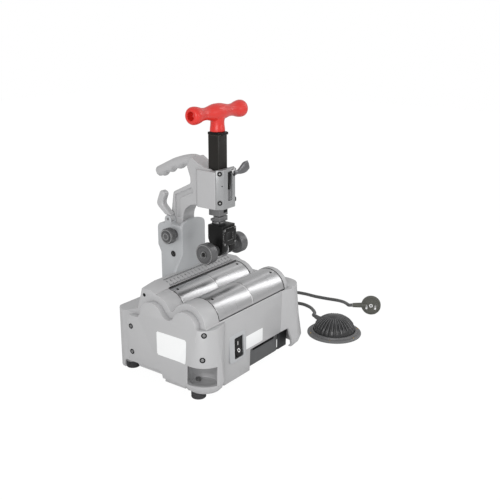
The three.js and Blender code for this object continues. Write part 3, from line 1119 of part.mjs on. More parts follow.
const pedalAngle = PEDAL.cordAngle * DEGREE;
const pedalWay = [Math.cos(pedalAngle), Math.sin(pedalAngle), 0];
const pedalSpot = (reach) => [PEDAL.x + reach * pedalWay[0], PEDAL.y + reach * pedalWay[1], PEDAL.reliefZ];
const { floor } = PEDAL;
const flangeTop = floor + PEDAL.flangeHeight;
const ringTop = floor + PEDAL.ringTop;
const wellFloor = floor + PEDAL.baseThickness;
const reliefLength = PEDAL.reliefTo - PEDAL.reliefFrom;
add('pedal_base', cut(
  turned([
    [PEDAL.flange, floor], [PEDAL.flange, flangeTop - PEDAL.edgeRound],
      [PEDAL.flange - PEDAL.edgeRound, flangeTop],
    [PEDAL.ring + PEDAL.edgeRound, flangeTop], [PEDAL.ring, ringTop],
  ], 'z', [PEDAL.x, PEDAL.y, 0]),
  rod(PEDAL.dome + FIT, 'z', [PEDAL.x, PEDAL.y], wellFloor, ringTop + OVERRUN),
  laid(rod(PEDAL.relief + FIT, 'x', [0, 0], 0, reliefLength), pedalWay, pedalSpot(PEDAL.reliefFrom)),
), 'black');
const domeLow = floor + PEDAL.domeLift;
const domeRise = PEDAL.apex - domeLow;
const domeArc = arc(0, 0, PEDAL.dome, 0, 90).slice(0, -1);
const domeLine = (thin) => domeArc.map(([across, up]) => [
  (PEDAL.dome - thin) * across / PEDAL.dome, domeLow + (domeRise - thin) * up / PEDAL.dome,
]);
add('pedal_dome', cut(
  ring([[0, domeLow], ...domeLine(0), [0, PEDAL.apex]], 'z', [PEDAL.x, PEDAL.y, 0]),
  shifted(ring([[0, domeLow], ...domeLine(PEDAL.shell), [0, PEDAL.apex - PEDAL.shell]], 'z',
    [PEDAL.x, PEDAL.y, 0]), 0, 0, -GAP),
), 'rubber');
add('pedal_relief', laid(turned([[PEDAL.relief, 0], [PEDAL.reliefEnd, reliefLength]], 'x', [0, 0, 0]),
  pedalWay, pedalSpot(PEDAL.reliefFrom + GAP)), 'black');
const signalStart = [coverFace + CORD.pedalGlandReach + GAP, SIGNAL.y, SIGNAL.z];
add('pedal_lead', cordBetween(signalStart, [1, 0, 0], PEDAL_ROUTE, pedalSpot(PEDAL.reliefTo + 2 * GAP),
  pedalWay), 'black');

export default cutter;
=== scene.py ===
"""Looks of the electric tube cutter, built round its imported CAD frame.

Sizes are millimetres in the part's own frame, and become metres where a mesh is made. X runs
along the rollers, -Y is the switch side, Z is up, and the floor lies at -14 mm.
"""

import math

import bmesh
import bpy
import numpy as np
from mathutils import Matrix, Vector
from mathutils.bvhtree import BVHTree


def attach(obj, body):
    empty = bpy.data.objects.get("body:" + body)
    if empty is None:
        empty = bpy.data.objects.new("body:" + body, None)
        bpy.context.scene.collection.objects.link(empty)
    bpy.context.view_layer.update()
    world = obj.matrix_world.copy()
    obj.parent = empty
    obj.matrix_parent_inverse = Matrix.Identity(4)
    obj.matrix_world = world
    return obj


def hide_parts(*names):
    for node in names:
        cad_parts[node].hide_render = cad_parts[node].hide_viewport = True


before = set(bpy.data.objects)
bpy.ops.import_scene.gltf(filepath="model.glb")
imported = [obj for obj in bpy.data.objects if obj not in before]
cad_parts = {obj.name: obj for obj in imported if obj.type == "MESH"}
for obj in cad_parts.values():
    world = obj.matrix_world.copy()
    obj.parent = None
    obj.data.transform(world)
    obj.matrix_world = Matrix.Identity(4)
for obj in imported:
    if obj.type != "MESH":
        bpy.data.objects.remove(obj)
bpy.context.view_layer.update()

# Camera: solved from the roller arcs and straight edges of the photograph's 500 pixel frame.
# It stands to the left of the switch side, above the rollers, and looks slightly down.
FRAME_PIXELS = 500
FOCAL_PIXELS = 770.4
SENSOR_WIDTH = 36.0
azimuth, elevation = math.radians(-53.22), math.radians(17.24)
view_back = Vector(
    (
        math.sin(azimuth) * math.cos(elevation),
        -math.cos(azimuth) * math.cos(elevation),
        math.sin(elevation),
    )
)
camera = bpy.data.objects.new("camera", bpy.data.cameras.new("camera"))
camera.data.sensor_width = SENSOR_WIDTH
camera.data.lens = FOCAL_PIXELS / FRAME_PIXELS * SENSOR_WIDTH
camera.data.shift_x = 0.0110
camera.data.shift_y = -0.0086
camera.data.clip_start = 0.05
camera.data.clip_end = 30.0
camera.location = (-1.06213, -0.84973, 0.65086)
camera.rotation_mode = "QUATERNION"
camera.rotation_quaternion = (-view_back).to_track_quat("-Z", "Y")
bpy.context.scene.collection.objects.link(camera)
bpy.context.scene.camera = camera

# Free cords: two round rubber leads, one to the mains plug and one to the foot pedal. Each
# leaves a gland in the right end cover, falls to the floor and lies there on its CAD route.
MM = 0.001
CORD_RADIUS = 3.75


class Socket:
    """An output of a shader node. Operators on it add Math nodes, so maths reads as it is written."""

    def __init__(self, tree, link=None):
        self.tree = tree
        self.link = link

    def add(self, kind, settings, inputs, result):
        """Adds a node: its settings first, then each socket's value or link, and gives its result."""
        node = self.tree.nodes.new(kind)
        for name, value in settings.items():
            setattr(node, name, value)
        for name, value in inputs.items():
            if isinstance(value, Socket):
                self.tree.links.new(value.link, node.inputs[name])
            else:
                node.inputs[name].default_value = value
        return Socket(self.tree, node.outputs[result])

    def into(self, node, name):
        self.tree.links.new(self.link, node.inputs[name])

    def mixed(self, first, second):
        """Colours mixed by this value."""
        ends = {"Factor": self, "A": first, "B": second}
        return self.add("ShaderNodeMix", {"data_type": "RGBA"}, ends, "Result")

    def spread(self, low, high, new_low=0.0, new_high=1.0):
        """This value's range from low to high, stretched over a new range and held there."""
        ends = {"From Min": low, "From Max": high, "To Min": new_low, "To Max": new_high}
        return self.add("ShaderNodeMapRange", {}, {"Value": self, **ends}, "Result")

    def __mul__(self, other):
        return self.add("ShaderNodeMath", {"operation": "MULTIPLY"}, {0: self, 1: other}, "Value")

    def __add__(self, other):
        return self.add("ShaderNodeMath", {"operation": "ADD"}, {0: self, 1: other}, "Value")

    __rmul__ = __mul__
    __radd__ = __add__


def srgb(*values):
    """A colour read from the photograph, 0 to 255, as the linear colour a shader takes."""
    parts = [v / 255 for v in values]
    return tuple(p / 12.92 if p <= 0.04045 else ((p + 0.055) / 1.055) ** 2.4 for p in parts) + (1.0,)


def scaled(colour, factor):
    return tuple(min(1.0, c * factor) for c in colour[:3]) + (1.0,)


def material(
    name, colour, roughness, metallic=0.0, grain=900.0, stretch=(1, 1, 1), bump=0.15, depth=0.0002,
    mottle=0.06, rough_spread=0.08, edge=None, edge_width=0.8, soft_edge=0.0, dirt=0.0, coat=0.0, gloss=0.5,
):
    """A finish with grain, colour drift, uneven roughness, bump, soft edges and paler edges for wear and
    painted highlight.
    """
    made = bpy.data.materials.new(name)
    made.use_nodes = True
    shader = made.node_tree.nodes["Principled BSDF"]
    shader.inputs["Metallic"].default_value = metallic
    shader.inputs["Specular IOR Level"].default_value = gloss
    if coat:
        shader.inputs["Coat Weight"].default_value = coat
        shader.inputs["Coat Roughness"].default_value = 0.15
    surface = Socket(made.node_tree)
    place = surface.add("ShaderNodeTexCoord", {}, {}, "Object")
    laid = surface.add("ShaderNodeMapping", {}, {"Vector": place, "Scale": stretch}, "Vector")
    fine = surface.add("ShaderNodeTexNoise", {}, {"Vector": laid, "Scale": grain, "Detail": 4.0}, "Fac")
    patches = {"Vector": place, "Scale": 22.0, "Detail": 6.0, "Roughness": 0.6}
    slow = surface.add("ShaderNodeTexNoise", {}, patches, "Fac")
    drift = slow.spread(0.3, 0.7)
    base = drift.mixed(scaled(colour, 1 - mottle), scaled(colour, 1 + mottle))
    lighter = drift.mixed(scaled(colour, 1 - mottle / 2), scaled(colour, 1 + mottle / 2))
    base = fine.spread(0.35, 0.65).mixed(base, lighter)
    if dirt:
        base = slow.spread(0.56, 0.74, 0.0, dirt).mixed(base, scaled(colour, 0.55))
    smoothest, roughest = max(0.05, roughness - rough_spread), min(1, roughness + rough_spread)
    normal = None
    if edge or soft_edge:
        radius = (soft_edge or edge_width) * MM
        turned = surface.add("ShaderNodeBevel", {"samples": 6}, {"Radius": radius}, "Normal")
        normal = turned if soft_edge else None
    # The edge colour paints edges paler: wear on the metals and the black paint, painted highlight on the
    # enamel and the dome.
    if edge:
        face = surface.add("ShaderNodeNewGeometry", {}, {}, "Normal")
        dot = {"operation": "DOT_PRODUCT"}
        bend = surface.add("ShaderNodeVectorMath", dot, {0: turned, 1: face}, "Value")
        wear_and_highlight = bend.spread(0.995, 0.86) * slow.spread(0.3, 0.6, 0.25, 0.9)
        base = wear_and_highlight.mixed(base, edge)
    base.into(shader, "Base Color")
    fine.spread(0.3, 0.7, smoothest, roughest).into(shader, "Roughness")
    if bump:
        relief = {"Strength": bump, "Distance": depth, "Height": fine}
        if normal:
            relief["Normal"] = normal
        normal = surface.add("ShaderNodeBump", {}, relief, "Normal")
    if normal:
        normal.into(shader, "Normal")
    return made


def catmull(route):
    """Bezier points, each with its two handles, of the centripetal curve through a route."""
    places = [np.array(p, float) for p in route]
    line = [2 * places[0] - places[1], *places, 2 * places[-1] - places[-2]]
    gaps = [max(np.linalg.norm(b - a), 1e-4) ** 0.5 for a, b in zip(line, line[1:])]
    outs, ins = {}, {}
    for at in range(len(places) - 1):
        p0, p1, p2, p3 = line[at : at + 4]
        d0, d1, d2 = gaps[at : at + 3]
        leave = ((p1 - p0) / d0 - (p2 - p0) / (d0 + d1) + (p2 - p1) / d1) * d1
        reach = ((p2 - p1) / d1 - (p3 - p1) / (d1 + d2) + (p3 - p2) / d2) * d1
        outs[at] = p1 + leave / 3
        ins[at + 1] = p2 - reach / 3
    made = []
    for at, place in enumerate(places):
        out = outs.get(at, 2 * place - ins.get(at, place))
        back = ins.get(at, 2 * place - out)
        made.append((place, back, out))
    return made


def length_of(route):
    """Length in metres of the curve through a route."""
    total = 0.0
    knots = catmull(route)
    steps = np.linspace(0, 1, 41)[:, None]
    rest = 1 - steps
    for (a, _, b), (d, c, _) in zip(knots, knots[1:]):
        curve = a * rest**3 + 3 * b * steps * rest**2 + 3 * c * steps**2 * rest + d * steps**3
        total += np.linalg.norm(np.diff(curve, axis=0), axis=1).sum()
    return total * MM


def lead(name, route, node):
    """A free cord as one open curve along its route, in place of its CAD solid."""
    data = bpy.data.curves.new(name, "CURVE")
    data.dimensions = "3D"
    data.resolution_u = 10
    data.bevel_depth = CORD_RADIUS * MM
    data.bevel_resolution = 5
    data.use_fill_caps = True
    spline = data.splines.new("BEZIER")
    spline.bezier_points.add(len(route) - 1)
    for knot, (place, back, out) in zip(spline.bezier_points, catmull(route)):
        knot.handle_left_type = knot.handle_right_type = "FREE"
        knot.co = Vector(place) * MM
        knot.handle_left = Vector(back) * MM
        knot.handle_right = Vector(out) * MM
    data.materials.append(cord_rubber)
    made = bpy.data.objects.new(name, data)
    bpy.context.scene.collection.objects.link(made)
    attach(made, "base")
    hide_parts(node)
    return made


cord_rubber = material("cord_jacket", srgb(84, 84, 84), 0.42, grain=1600, bump=0.12, mottle=0.08)
GLAND_HEIGHT = 46
MAINS_Y, PEDAL_Y = 72, 28
STRAIGHT = 7.5
PLUG_CENTRE = Vector((407, -108, 7.5))
PLUG_FACING = math.radians(206)
plug_way = Vector((math.cos(PLUG_FACING), math.sin(PLUG_FACING), 0))
relief_way = Vector((math.sin(PLUG_FACING), -math.cos(PLUG_FACING), -3 / 42)).normalized()
plug_end = PLUG_CENTRE + relief_way * 42.3
mains_route = [
    (190.7, MAINS_Y, GLAND_HEIGHT), (198.2, MAINS_Y, GLAND_HEIGHT), (216, 76, 38), (240, 88, 14),
    (262, 104, -5), (290, 120, -9.7), (325, 129, -9.7), (362, 130, -9.7), (393, 119, -9.7),
    (411, 99, -9.7), (417, 74, -9.7), (417, 46, -9.7), (421, 16, -9.7), (420, -12, -7),
    (406, -38, -1), (391, -56, 3), tuple(plug_end + relief_way * STRAIGHT), tuple(plug_end),
]
mains_lead = lead("mains_cord", mains_route, "mains_lead")
PEDAL_CENTRE = Vector((265, -96, 0))
PEDAL_ANGLE = math.radians(65)
pedal_way = Vector((math.cos(PEDAL_ANGLE), math.sin(PEDAL_ANGLE), 0))
pedal_end = PEDAL_CENTRE + pedal_way * 72.6 + Vector((0, 0, -2))
pedal_route = [
    (178.7, PEDAL_Y, GLAND_HEIGHT), (186.2, PEDAL_Y, GLAND_HEIGHT), (200, 32, 40), (222, 46, 18),
    (244, 62, -3), (268, 74, -9.7), (298, 82, -9.7), (328, 80, -9.7), (349, 66, -9.7),
    (357, 44, -9.7), (350, 19, -9), (334, 0, -6.5), (314, -17, -3.5),
    tuple(pedal_end + pedal_way * STRAIGHT), tuple(pedal_end),
]
pedal_lead = lead("pedal_cord", pedal_route, "pedal_lead")

# Housing: the base's sand-cast aluminium shell in pale grey enamel, the CAD shape with rounded
# edges. Its rear wall is drawn in, an arch clears the rear left foot and decks close its humps.
ROLLER_Y, ROLLER_HEIGHT = 38.85, 127.5
REAR_FROM, REAR_SHARE = 100, 0.83
TURN = 2 * math.pi
PLANES = {"xy": (0, 1, 2), "yz": (1, 2, 0), "xz": (0, 2, 1)}


def shaded(mesh, angle=32):
    mesh.shade_smooth()
    mesh.set_sharp_from_angle(angle=math.radians(angle))
    return mesh


def mesh_of(name, points, faces, angle=32):
    mesh = bpy.data.meshes.new(name)
    mesh.from_pydata([[c * MM for c in point] for point in points], [], faces)
    mesh.validate()
    return shaded(mesh, angle)


def bevelled(bm, width, segments=2):
    """Rounds every edge that is sharper than 30 degrees."""
    edges = [e for e in bm.edges if len(e.link_faces) == 2 and e.calc_face_angle(0.0) > math.radians(30)]
    if edges and width:
        bmesh.ops.bevel(
            bm, geom=edges, offset=width * MM, offset_type="OFFSET", segments=segments, profile=0.5,
            affect="EDGES", clamp_overlap=True,
        )


def dressed(node, name, bevel, reshape=None):
    """A CAD node's shape with its flats joined up and its sharp edges bevelled."""
    bm = bmesh.new()
    bm.from_mesh(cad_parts[node].data)
    if reshape:
        for vert in bm.verts:
            vert.co = Vector(reshape(*(c / MM for c in vert.co))) * MM
    bmesh.ops.remove_doubles(bm, verts=bm.verts, dist=2e-6)
    bmesh.ops.dissolve_limit(bm, angle_limit=math.radians(1), verts=bm.verts, edges=bm.edges)
    bevelled(bm, bevel)
    mesh = bpy.data.meshes.new(name)
    bm.to_mesh(mesh)
    bm.free()
    return shaded(mesh)


def rounded(points, closed=False):
    """Rounds the corners of an outline whose points carry a radius as their third value."""
    made = []
    for at, point in enumerate(points):
        if len(point) < 3 or not point[2] or (not closed and at in (0, len(points) - 1)):
            made.append(tuple(point[:2]))
            continue
        corner = Vector(point[:2])
        back = (Vector(points[at - 1][:2]) - corner).normalized()
        on = (Vector(points[(at + 1) % len(points)][:2]) - corner).normalized()
        half = back.angle(on) / 2
        reach = point[2] / math.tan(half)
        centre = corner + (back + on).normalized() * (point[2] / math.sin(half))
        start, end = corner + back * reach - centre, corner + on * reach - centre
        sweep = start.angle_signed(end)
        count = max(2, math.ceil(abs(sweep) / math.radians(14)))
        for step in range(count + 1):
            turned = start.copy()
            turned.rotate(Matrix.Rotation(-sweep * step / count, 2))
            made.append(tuple(centre + turned))
    return made


def slab(name, outline, low, high, plane, bevel, segments=2):
    """A flat piece with bevelled edges: an outline in a plane between two levels of the third axis."""
    first, second, third = PLANES[plane]
    bm = bmesh.new()
    corners = []
    for u, v in rounded(outline, closed=True):
        place = [0.0, 0.0, 0.0]
        place[first], place[second], place[third] = u * MM, v * MM, low * MM
        corners.append(bm.verts.new(place))
    top = bmesh.ops.extrude_face_region(bm, geom=[bm.faces.new(corners)])
    lift = [0.0, 0.0, 0.0]
    lift[third] = (high - low) * MM
    bmesh.ops.translate(bm, vec=lift, verts=[g for g in top["geom"] if isinstance(g, bmesh.types.BMVert)])
    bmesh.ops.recalc_face_normals(bm, faces=bm.faces)
    bevelled(bm, bevel, segments)
    mesh = bpy.data.meshes.new(name)
    bm.to_mesh(mesh)
    bm.free()
    return shaded(mesh)


def evaluated(mesh, build):
    """Runs modifiers on a mesh and returns the result as a new mesh, with nothing left behind."""
    holder = bpy.data.objects.new("holder", mesh)
    bpy.context.scene.collection.objects.link(holder)
    build(holder)
    made = bpy.data.meshes.new_from_object(holder.evaluated_get(bpy.context.evaluated_depsgraph_get()))
    made.name = mesh.name
    bpy.data.objects.remove(holder)
    return made


def combined(mesh, other, operation):
    """Joins another closed mesh to a mesh, or cuts it away."""
    name = mesh.name
    tool = bpy.data.objects.new("tool", other)
    bpy.context.scene.collection.objects.link(tool)

    def build(holder):
        modifier = holder.modifiers.new("combine", "BOOLEAN")
        modifier.operation = operation
        modifier.solver = "EXACT"
        modifier.object = tool

    made = evaluated(mesh, build)
    bpy.data.objects.remove(tool)
    mesh.name = name + ".old"
    made.name = name
    return shaded(made)


def frame_along(way):
    """A way and two directions square to it, so that a turned piece can be made along it."""
    way = Vector(way).normalized()
    side = Vector((0, 0, 1)) if abs(way.z) < 0.9 else Vector((0, 1, 0))
    side = (side - way * side.dot(way)).normalized()
    return way, side, way.cross(side)


def lathe(name, profile, centre, way=(1, 0, 0), sides=96, wave=None, angle=32):
    """Turns a profile of [radius, place along the way, corner radius] round a line through the centre."""
    way, side, other = frame_along(way)
    points, rings = [], []
    for radius, along in rounded(profile):
        start = len(points)
        middle = Vector(centre) + way * along
        if radius < 1e-6:
            points.append(tuple(middle))
            rings.append([start] * sides)
            continue
        for step in range(sides):
            turn = TURN * step / sides
            grown = radius + (wave(turn, radius, along) if wave else 0.0)
            points.append(tuple(middle + (side * math.cos(turn) + other * math.sin(turn)) * grown))
        rings.append(list(range(start, start + sides)))
    faces = []
    for first, second in zip(rings, rings[1:]):
        for step in range(sides):
            on = (step + 1) % sides
            corners = [first[step], first[on], second[on], second[step]]
            kept = [c for place, c in enumerate(corners) if c not in corners[:place]]
            if len(kept) > 2:
                faces.append(kept)
    return mesh_of(name, points, faces, angle)


def piece(mesh, look, body, slot, *stands_for):
    """Shows a mesh as a piece with its finish, its body and the nodes it stands for; its slot is not used.
    """
    mesh.materials.clear()
    mesh.materials.append(look)
    made = bpy.data.objects.new(mesh.name, mesh)
    bpy.context.scene.collection.objects.link(made)
    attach(made, body)
    if stands_for:
        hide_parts(*stands_for)
    return made


def drawn_in(x, y, z):
    return (x, REAR_FROM + (y - REAR_FROM) * REAR_SHARE if y > REAR_FROM else y, z)


# Its pale edge colour is painted highlight along the casting's rounded edges.
enamel = material(
    "enamel_casting", srgb(182, 182, 183), 0.42, 0.05, grain=1400, bump=0.10, mottle=0.022, soft_edge=1.1,
    dirt=0.06, coat=0.12, edge=srgb(222, 222, 223),
)
# Painted shadow: a near-black laid in gaps, holes and recesses where shade falls.
painted_shadow = material("hole_shadow", srgb(20, 20, 21), 0.6, gloss=0.15, bump=0.1, mottle=0.1)
housing = dressed("housing", "housing_shell", 0.9, drawn_in)
foot_arch = slab("foot_arch", [[84, -2], [122, -2], [122, 19, 6], [84, 19, 6]], -146, -112, "yz", 0)
housing = combined(housing, foot_arch, "DIFFERENCE")
deck_outline = [[76, 131, 3], [128, 114.5], [128, 112], [76, 112]]
for low, high in ((-137.2, -57), (57, 137.2)):
    housing = combined(housing, slab("deck", deck_outline, low, high, "yz", 0.8), "UNION")
piece(housing, enamel, "base", "casting", "housing")
# Painted shadow: a dark strip in the gap along the front roller, dark rings in the gaps at the rollers' ends
# and a dark disc for the peep hole.
gap_shadow_outline = [[-78.0, 126], [-76.75, 126], [-76.75, 129.6], [-77.3, 131.35], [-78.0, 131.35]]
piece(slab("front_gap_shadow", gap_shadow_outline, -99.5, 99.5, "yz", 0), painted_shadow, "base", "dark")
gap_shadow_band = [[37.5, 101.3], [38.0, 101.3], [38.0, 100.05], [37.5, 100.05], [37.5, 101.3]]
gap_places = [(-1, -ROLLER_Y), (1, -ROLLER_Y), (-1, ROLLER_Y), (1, ROLLER_Y)]
for number, (side, y) in enumerate(gap_places, 1):
    band = [[radius, side * along] for radius, along in gap_shadow_band]
    ring = lathe(f"roller_gap_{number}", band, (0, y, ROLLER_HEIGHT), sides=128)
    piece(ring, painted_shadow, "base", "dark")
peep_profile = [[0, -1.2], [3.3, -1.2], [3.3, 0.1], [0, 0.1]]
peep = lathe("peep_hole_shadow", peep_profile, (-138, 64.5, 159.3), (-1, 0, 0), 24)
piece(peep, painted_shadow, "base", "dark")

# Left end cover: a second casting with the corner boss and the foot niche, in the same enamel.
# Four socket screws hold it on, and each head stands on a thin dark disc, painted shadow for its sinking.
COVER_SCREWS = [
    ((-150.4, 89.4, 97.1), (-1, 0, 0)),
    ((-150.4, 88.7, 47), (-1, 0, 0)),
    ((-142.7, -76.9, 119.0), (-0.776, -0.63, 0.086)),
    ((-147.7, -76.8, 75.2), (-0.828, -0.561, 0.086)),
]


def screw(name, centre, way, radius, look, body, height, socket=True):
    """A small round screw head, with a socket in it, standing out of the surface."""
    profile = [[0, -0.6], [radius, -0.6], [radius, height * 0.55, 0.3], [radius * 0.72, height, 0.3]]
    if socket:
        profile += [[radius * 0.45, height], [radius * 0.42, height * 0.2], [0, height * 0.2]]
    else:
        profile += [[0, height]]
    return piece(lathe(name, profile, centre, way, 24), look, body, "dark")


steel = material(
    "machined_steel", srgb(128, 128, 129), 0.38, 0.85, grain=700, stretch=(1, 1, 4), bump=0.1, mottle=0.08,
    edge=srgb(190, 190, 190), edge_width=0.7,
)
left_cover = dressed("left_end_cover", "left_cover", 0.9)
piece(left_cover, enamel, "base", "casting", "left_end_cover")
# Thin dark discs of painted shadow stand for the sinkings round the screw heads.
SHADOW_DISC_RISE = 0.35
shadow_disc_profile = [[5.0, 0.05], [5.0, SHADOW_DISC_RISE], [0, SHADOW_DISC_RISE], [0, 0.05]]
for number, (spot, way) in enumerate(COVER_SCREWS, 1):
    spot, way = Vector(spot), Vector(way)
    shadow_disc = lathe(f"left_screw_cup_{number}", shadow_disc_profile, spot, way, 32)
    piece(shadow_disc, painted_shadow, "base", "dark")
    screw(f"left_cover_screw_{number}", spot + way * SHADOW_DISC_RISE, way, 3.0, steel, "base", 0.5)

# Right end cover: the matching casting at the other end, which carries the two cord glands.
# It is screwed on from the right, where the photograph doesn't show it.
piece(dressed("right_end_cover", "right_cover", 0.9), enamel, "base", "casting", "right_end_cover")

# Base plate and inner chassis: painted steel sheet behind the cutout, bent once, with a long
# slot. Its folded end closes the cutout towards the right leg, darker than the sheet as painted
# shade, and a thin sheet of painted shadow lies in the slot.


def kept(look, *nodes):
    """Gives the CAD nodes that keep their shape their real finish."""
    for node in nodes:
        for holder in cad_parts[node].material_slots:
            holder.material = look


base_black = material("base_paint", srgb(46, 47, 49), 0.55, 0.2, grain=1200, bump=0.1, mottle=0.1)
sheet_dark = material("painted_sheet", srgb(92, 93, 94), 0.5, 0.2, grain=1200, bump=0.08, mottle=0.08)
kept(base_black, "base_plate")
kept(sheet_dark, "inner_chassis")
# The folded end is painted darker than the sheet, as shade inside the cutout; the slot holds a sheet of
# painted shadow.
sheet_end = [[95.6, -66.3], [126, -66.3, 5], [134, -52], [132, -52], [124.5, -64.3, 4], [95.6, -64.3]]
piece(slab("chassis_end_shaded", sheet_end, 2.6, 62, "xy", 0.3), base_black, "base", "steel")
slot_outline = [[13, 32, 5], [81, 32, 5], [81, 43, 5], [13, 43, 5]]
piece(slab("chassis_slot_shade", slot_outline, -62.8, -62.2, "xz", 0), painted_shadow, "base", "steel")

# Feet: four moulded rubber feet with ribs round them, each hollow below and bolted to the base.
# The front left foot stands under the corner boss, the rest under the housing.
FLOOR = -14.0
FEET = (
    ("front_left", (-122, -45), 6.7),
    ("front_right", (119.1, -20), 2.0),
    ("rear_left", (-102, 137), 2.0),
    ("rear_right", (102, 137), 2.0),
)
rubber = material("rubber", srgb(62, 62, 63), 0.7, grain=1100, bump=0.2, mottle=0.12, dirt=0.15)
plated = material(
    "plated_steel", srgb(150, 150, 150), 0.35, 0.9, bump=0.05, mottle=0.08, edge=srgb(215, 215, 215),
    edge_width=0.4,
)
foot_ribs = []
for step in range(4):
    z = FLOOR + 1.4 + step * 3.4
    foot_ribs += [[13.4, z, 0.4], [13.4, z + 2.0, 0.4], [12.5, z + 2.3, 0.2], [12.5, z + 3.1, 0.2]]
foot_sole = [[6.5, FLOOR + 6], [6.5, FLOOR], [12.6, FLOOR, 0.8]]
for label, (x, y), high in FEET:
    profile = [*foot_sole, *foot_ribs[:-2], [12.9, high, 0.4], [3.5, high]]
    foot = lathe(f"{label}_foot_rubber", profile, (x, y, 0), (0, 0, 1), 72)
    piece(foot, rubber, "base", "rubber", f"{label}_foot")
    kept(plated, f"{label}_foot_bolt")

# Drive: inside the base a gear motor on its sheet cradle turns both rollers through steel gears.
# The rollers run in ball bearings, held by plated plates at both ends.
gear_steel = material(
    "gear_steel", srgb(140, 141, 142), 0.35, 0.9, bump=0.08, mottle=0.1, edge=srgb(200, 200, 200),
    edge_width=0.4,
)
motor_paint = material("motor_enamel", srgb(62, 64, 68), 0.45, 0.3, grain=1100, bump=0.1, mottle=0.08)
kept(sheet_dark, "motor_cradle")
kept(motor_paint, "gear_motor")
kept(gear_steel, "front_roller_gear", "rear_roller_gear", "drive_pinion", "idler_gear", "motor_pinion")
for end in ("left", "right"):
    kept(plated, f"{end}_bearing_plate", f"{end}_front_bearing", f"{end}_rear_bearing")

# Rollers: two ground steel rollers that carry and turn the tube. Each has a groove under the
# cutter wheel and a set screw near both ends, and its journals run in the bearings.
ROLLER_RADIUS = 37.6
SCREW_X, SCREW_HOLE, SCREW_DEPTH = 88.7, 2.8, 6
ground = material(
    "ground_steel", srgb(192, 192, 193), 0.3, 1.0, grain=260, stretch=(5, 0.06, 0.06), bump=0.006,
    mottle=0.02, rough_spread=0.03, depth=0.00005,
)
bright_ring = material("polished_ring", srgb(235, 235, 235), 0.35, 0.6, bump=0.05, mottle=0.03)


def merged(name, meshes):
    bm = bmesh.new()
    for mesh in meshes:
        bm.from_mesh(mesh)
    mesh = bpy.data.meshes.new(name)
    bm.to_mesh(mesh)
    bm.free()
    return mesh


roller_profile = [
    [0, -129.6], [9.4, -129.6, 0.4], [10, -128.8], [10, -99.7], [36.8, -99.7, 0.2],
    [ROLLER_RADIUS, -98.9, 0.2], [ROLLER_RADIUS, -1.6, 0.2], [36.6, -1.4, 0.1], [36.6, 1.4, 0.1],
    [ROLLER_RADIUS, 1.6, 0.2], [ROLLER_RADIUS, 98.9, 0.2], [36.8, 99.7, 0.2], [10, 99.7],
    [10, 109.2], [0, 109.2],
]
groove_band = [[36.55, -1.3], [36.75, -1.3], [36.75, 1.3], [36.55, 1.3], [36.55, -1.3]]
drill_profile = [[0, -SCREW_DEPTH], [SCREW_HOLE, -SCREW_DEPTH], [SCREW_HOLE, 4], [0, 4]]
for label, y, lean in (("front", -ROLLER_Y, 20.0), ("rear", ROLLER_Y, 15.5)):
    centre = (0, y, ROLLER_HEIGHT)
    body = lathe(f"{label}_roller_ground", roller_profile, centre, sides=160)
    tilt = math.radians(lean)
    out = Vector((0, -math.sin(tilt), math.cos(tilt)))
    spots = [Vector((x, y, ROLLER_HEIGHT)) + out * ROLLER_RADIUS for x in (-SCREW_X, SCREW_X)]
    drills = [lathe("drill", drill_profile, spot, out, 32) for spot in spots]
    body = combined(body, merged("drills", drills), "DIFFERENCE")
    piece(body, ground, f"{label}_roller", "bright", f"{label}_roller")
    groove = lathe(f"{label}_groove_band", groove_band, centre, sides=160)
    piece(groove, bright_ring, f"{label}_roller", "bright")
    # The set screw heads sit deep in their bores in the painted shadow colour.
    for number, spot in enumerate(spots, 1):
        head_at = spot - out * 3.2
        screw(f"{label}_set_screw_{number}", head_at, out, 2.4, painted_shadow, f"{label}_roller", 1.0)

# Switch: a black plastic rocker in its frame, set in a raised grey surround on the front.
# The rocker is moulded with a dished face and printed with its two white marks.
FRONT_SLOPE = 3.3 / 115.5
ROCKER_CENTRE = (-48, -70, 63.5)
ROCKER_TILT = math.radians(9)
black_plastic = material(
    "black_plastic", srgb(22, 22, 23), 0.45, gloss=0.25, grain=1500, bump=0.12, mottle=0.08, soft_edge=0.5
)
# Its pale edge colour is painted highlight along the rounded edges.
pale_enamel = material(
    "enamel_shield", srgb(182, 184, 186), 0.36, 0.1, grain=1400, bump=0.08, mottle=0.03, soft_edge=0.9,
    coat=0.15, edge=srgb(226, 226, 227),
)
mark_white = material("white_mark", srgb(240, 240, 240), 0.5, grain=1500, bump=0.02, mottle=0.03)


def front_face(z):
    return -(76 + (z - 2.3) * FRONT_SLOPE)


def rocker_point(x, z):
    """A point just in front of the rocker's dished face, in its tilted place."""
    y = -6.65 - 3 * abs(z) / 16.5
    back = y * math.cos(ROCKER_TILT) + z * math.sin(ROCKER_TILT)
    high = -y * math.sin(ROCKER_TILT) + z * math.cos(ROCKER_TILT)
    return (ROCKER_CENTRE[0] + x, ROCKER_CENTRE[1] + back, ROCKER_CENTRE[2] + high)


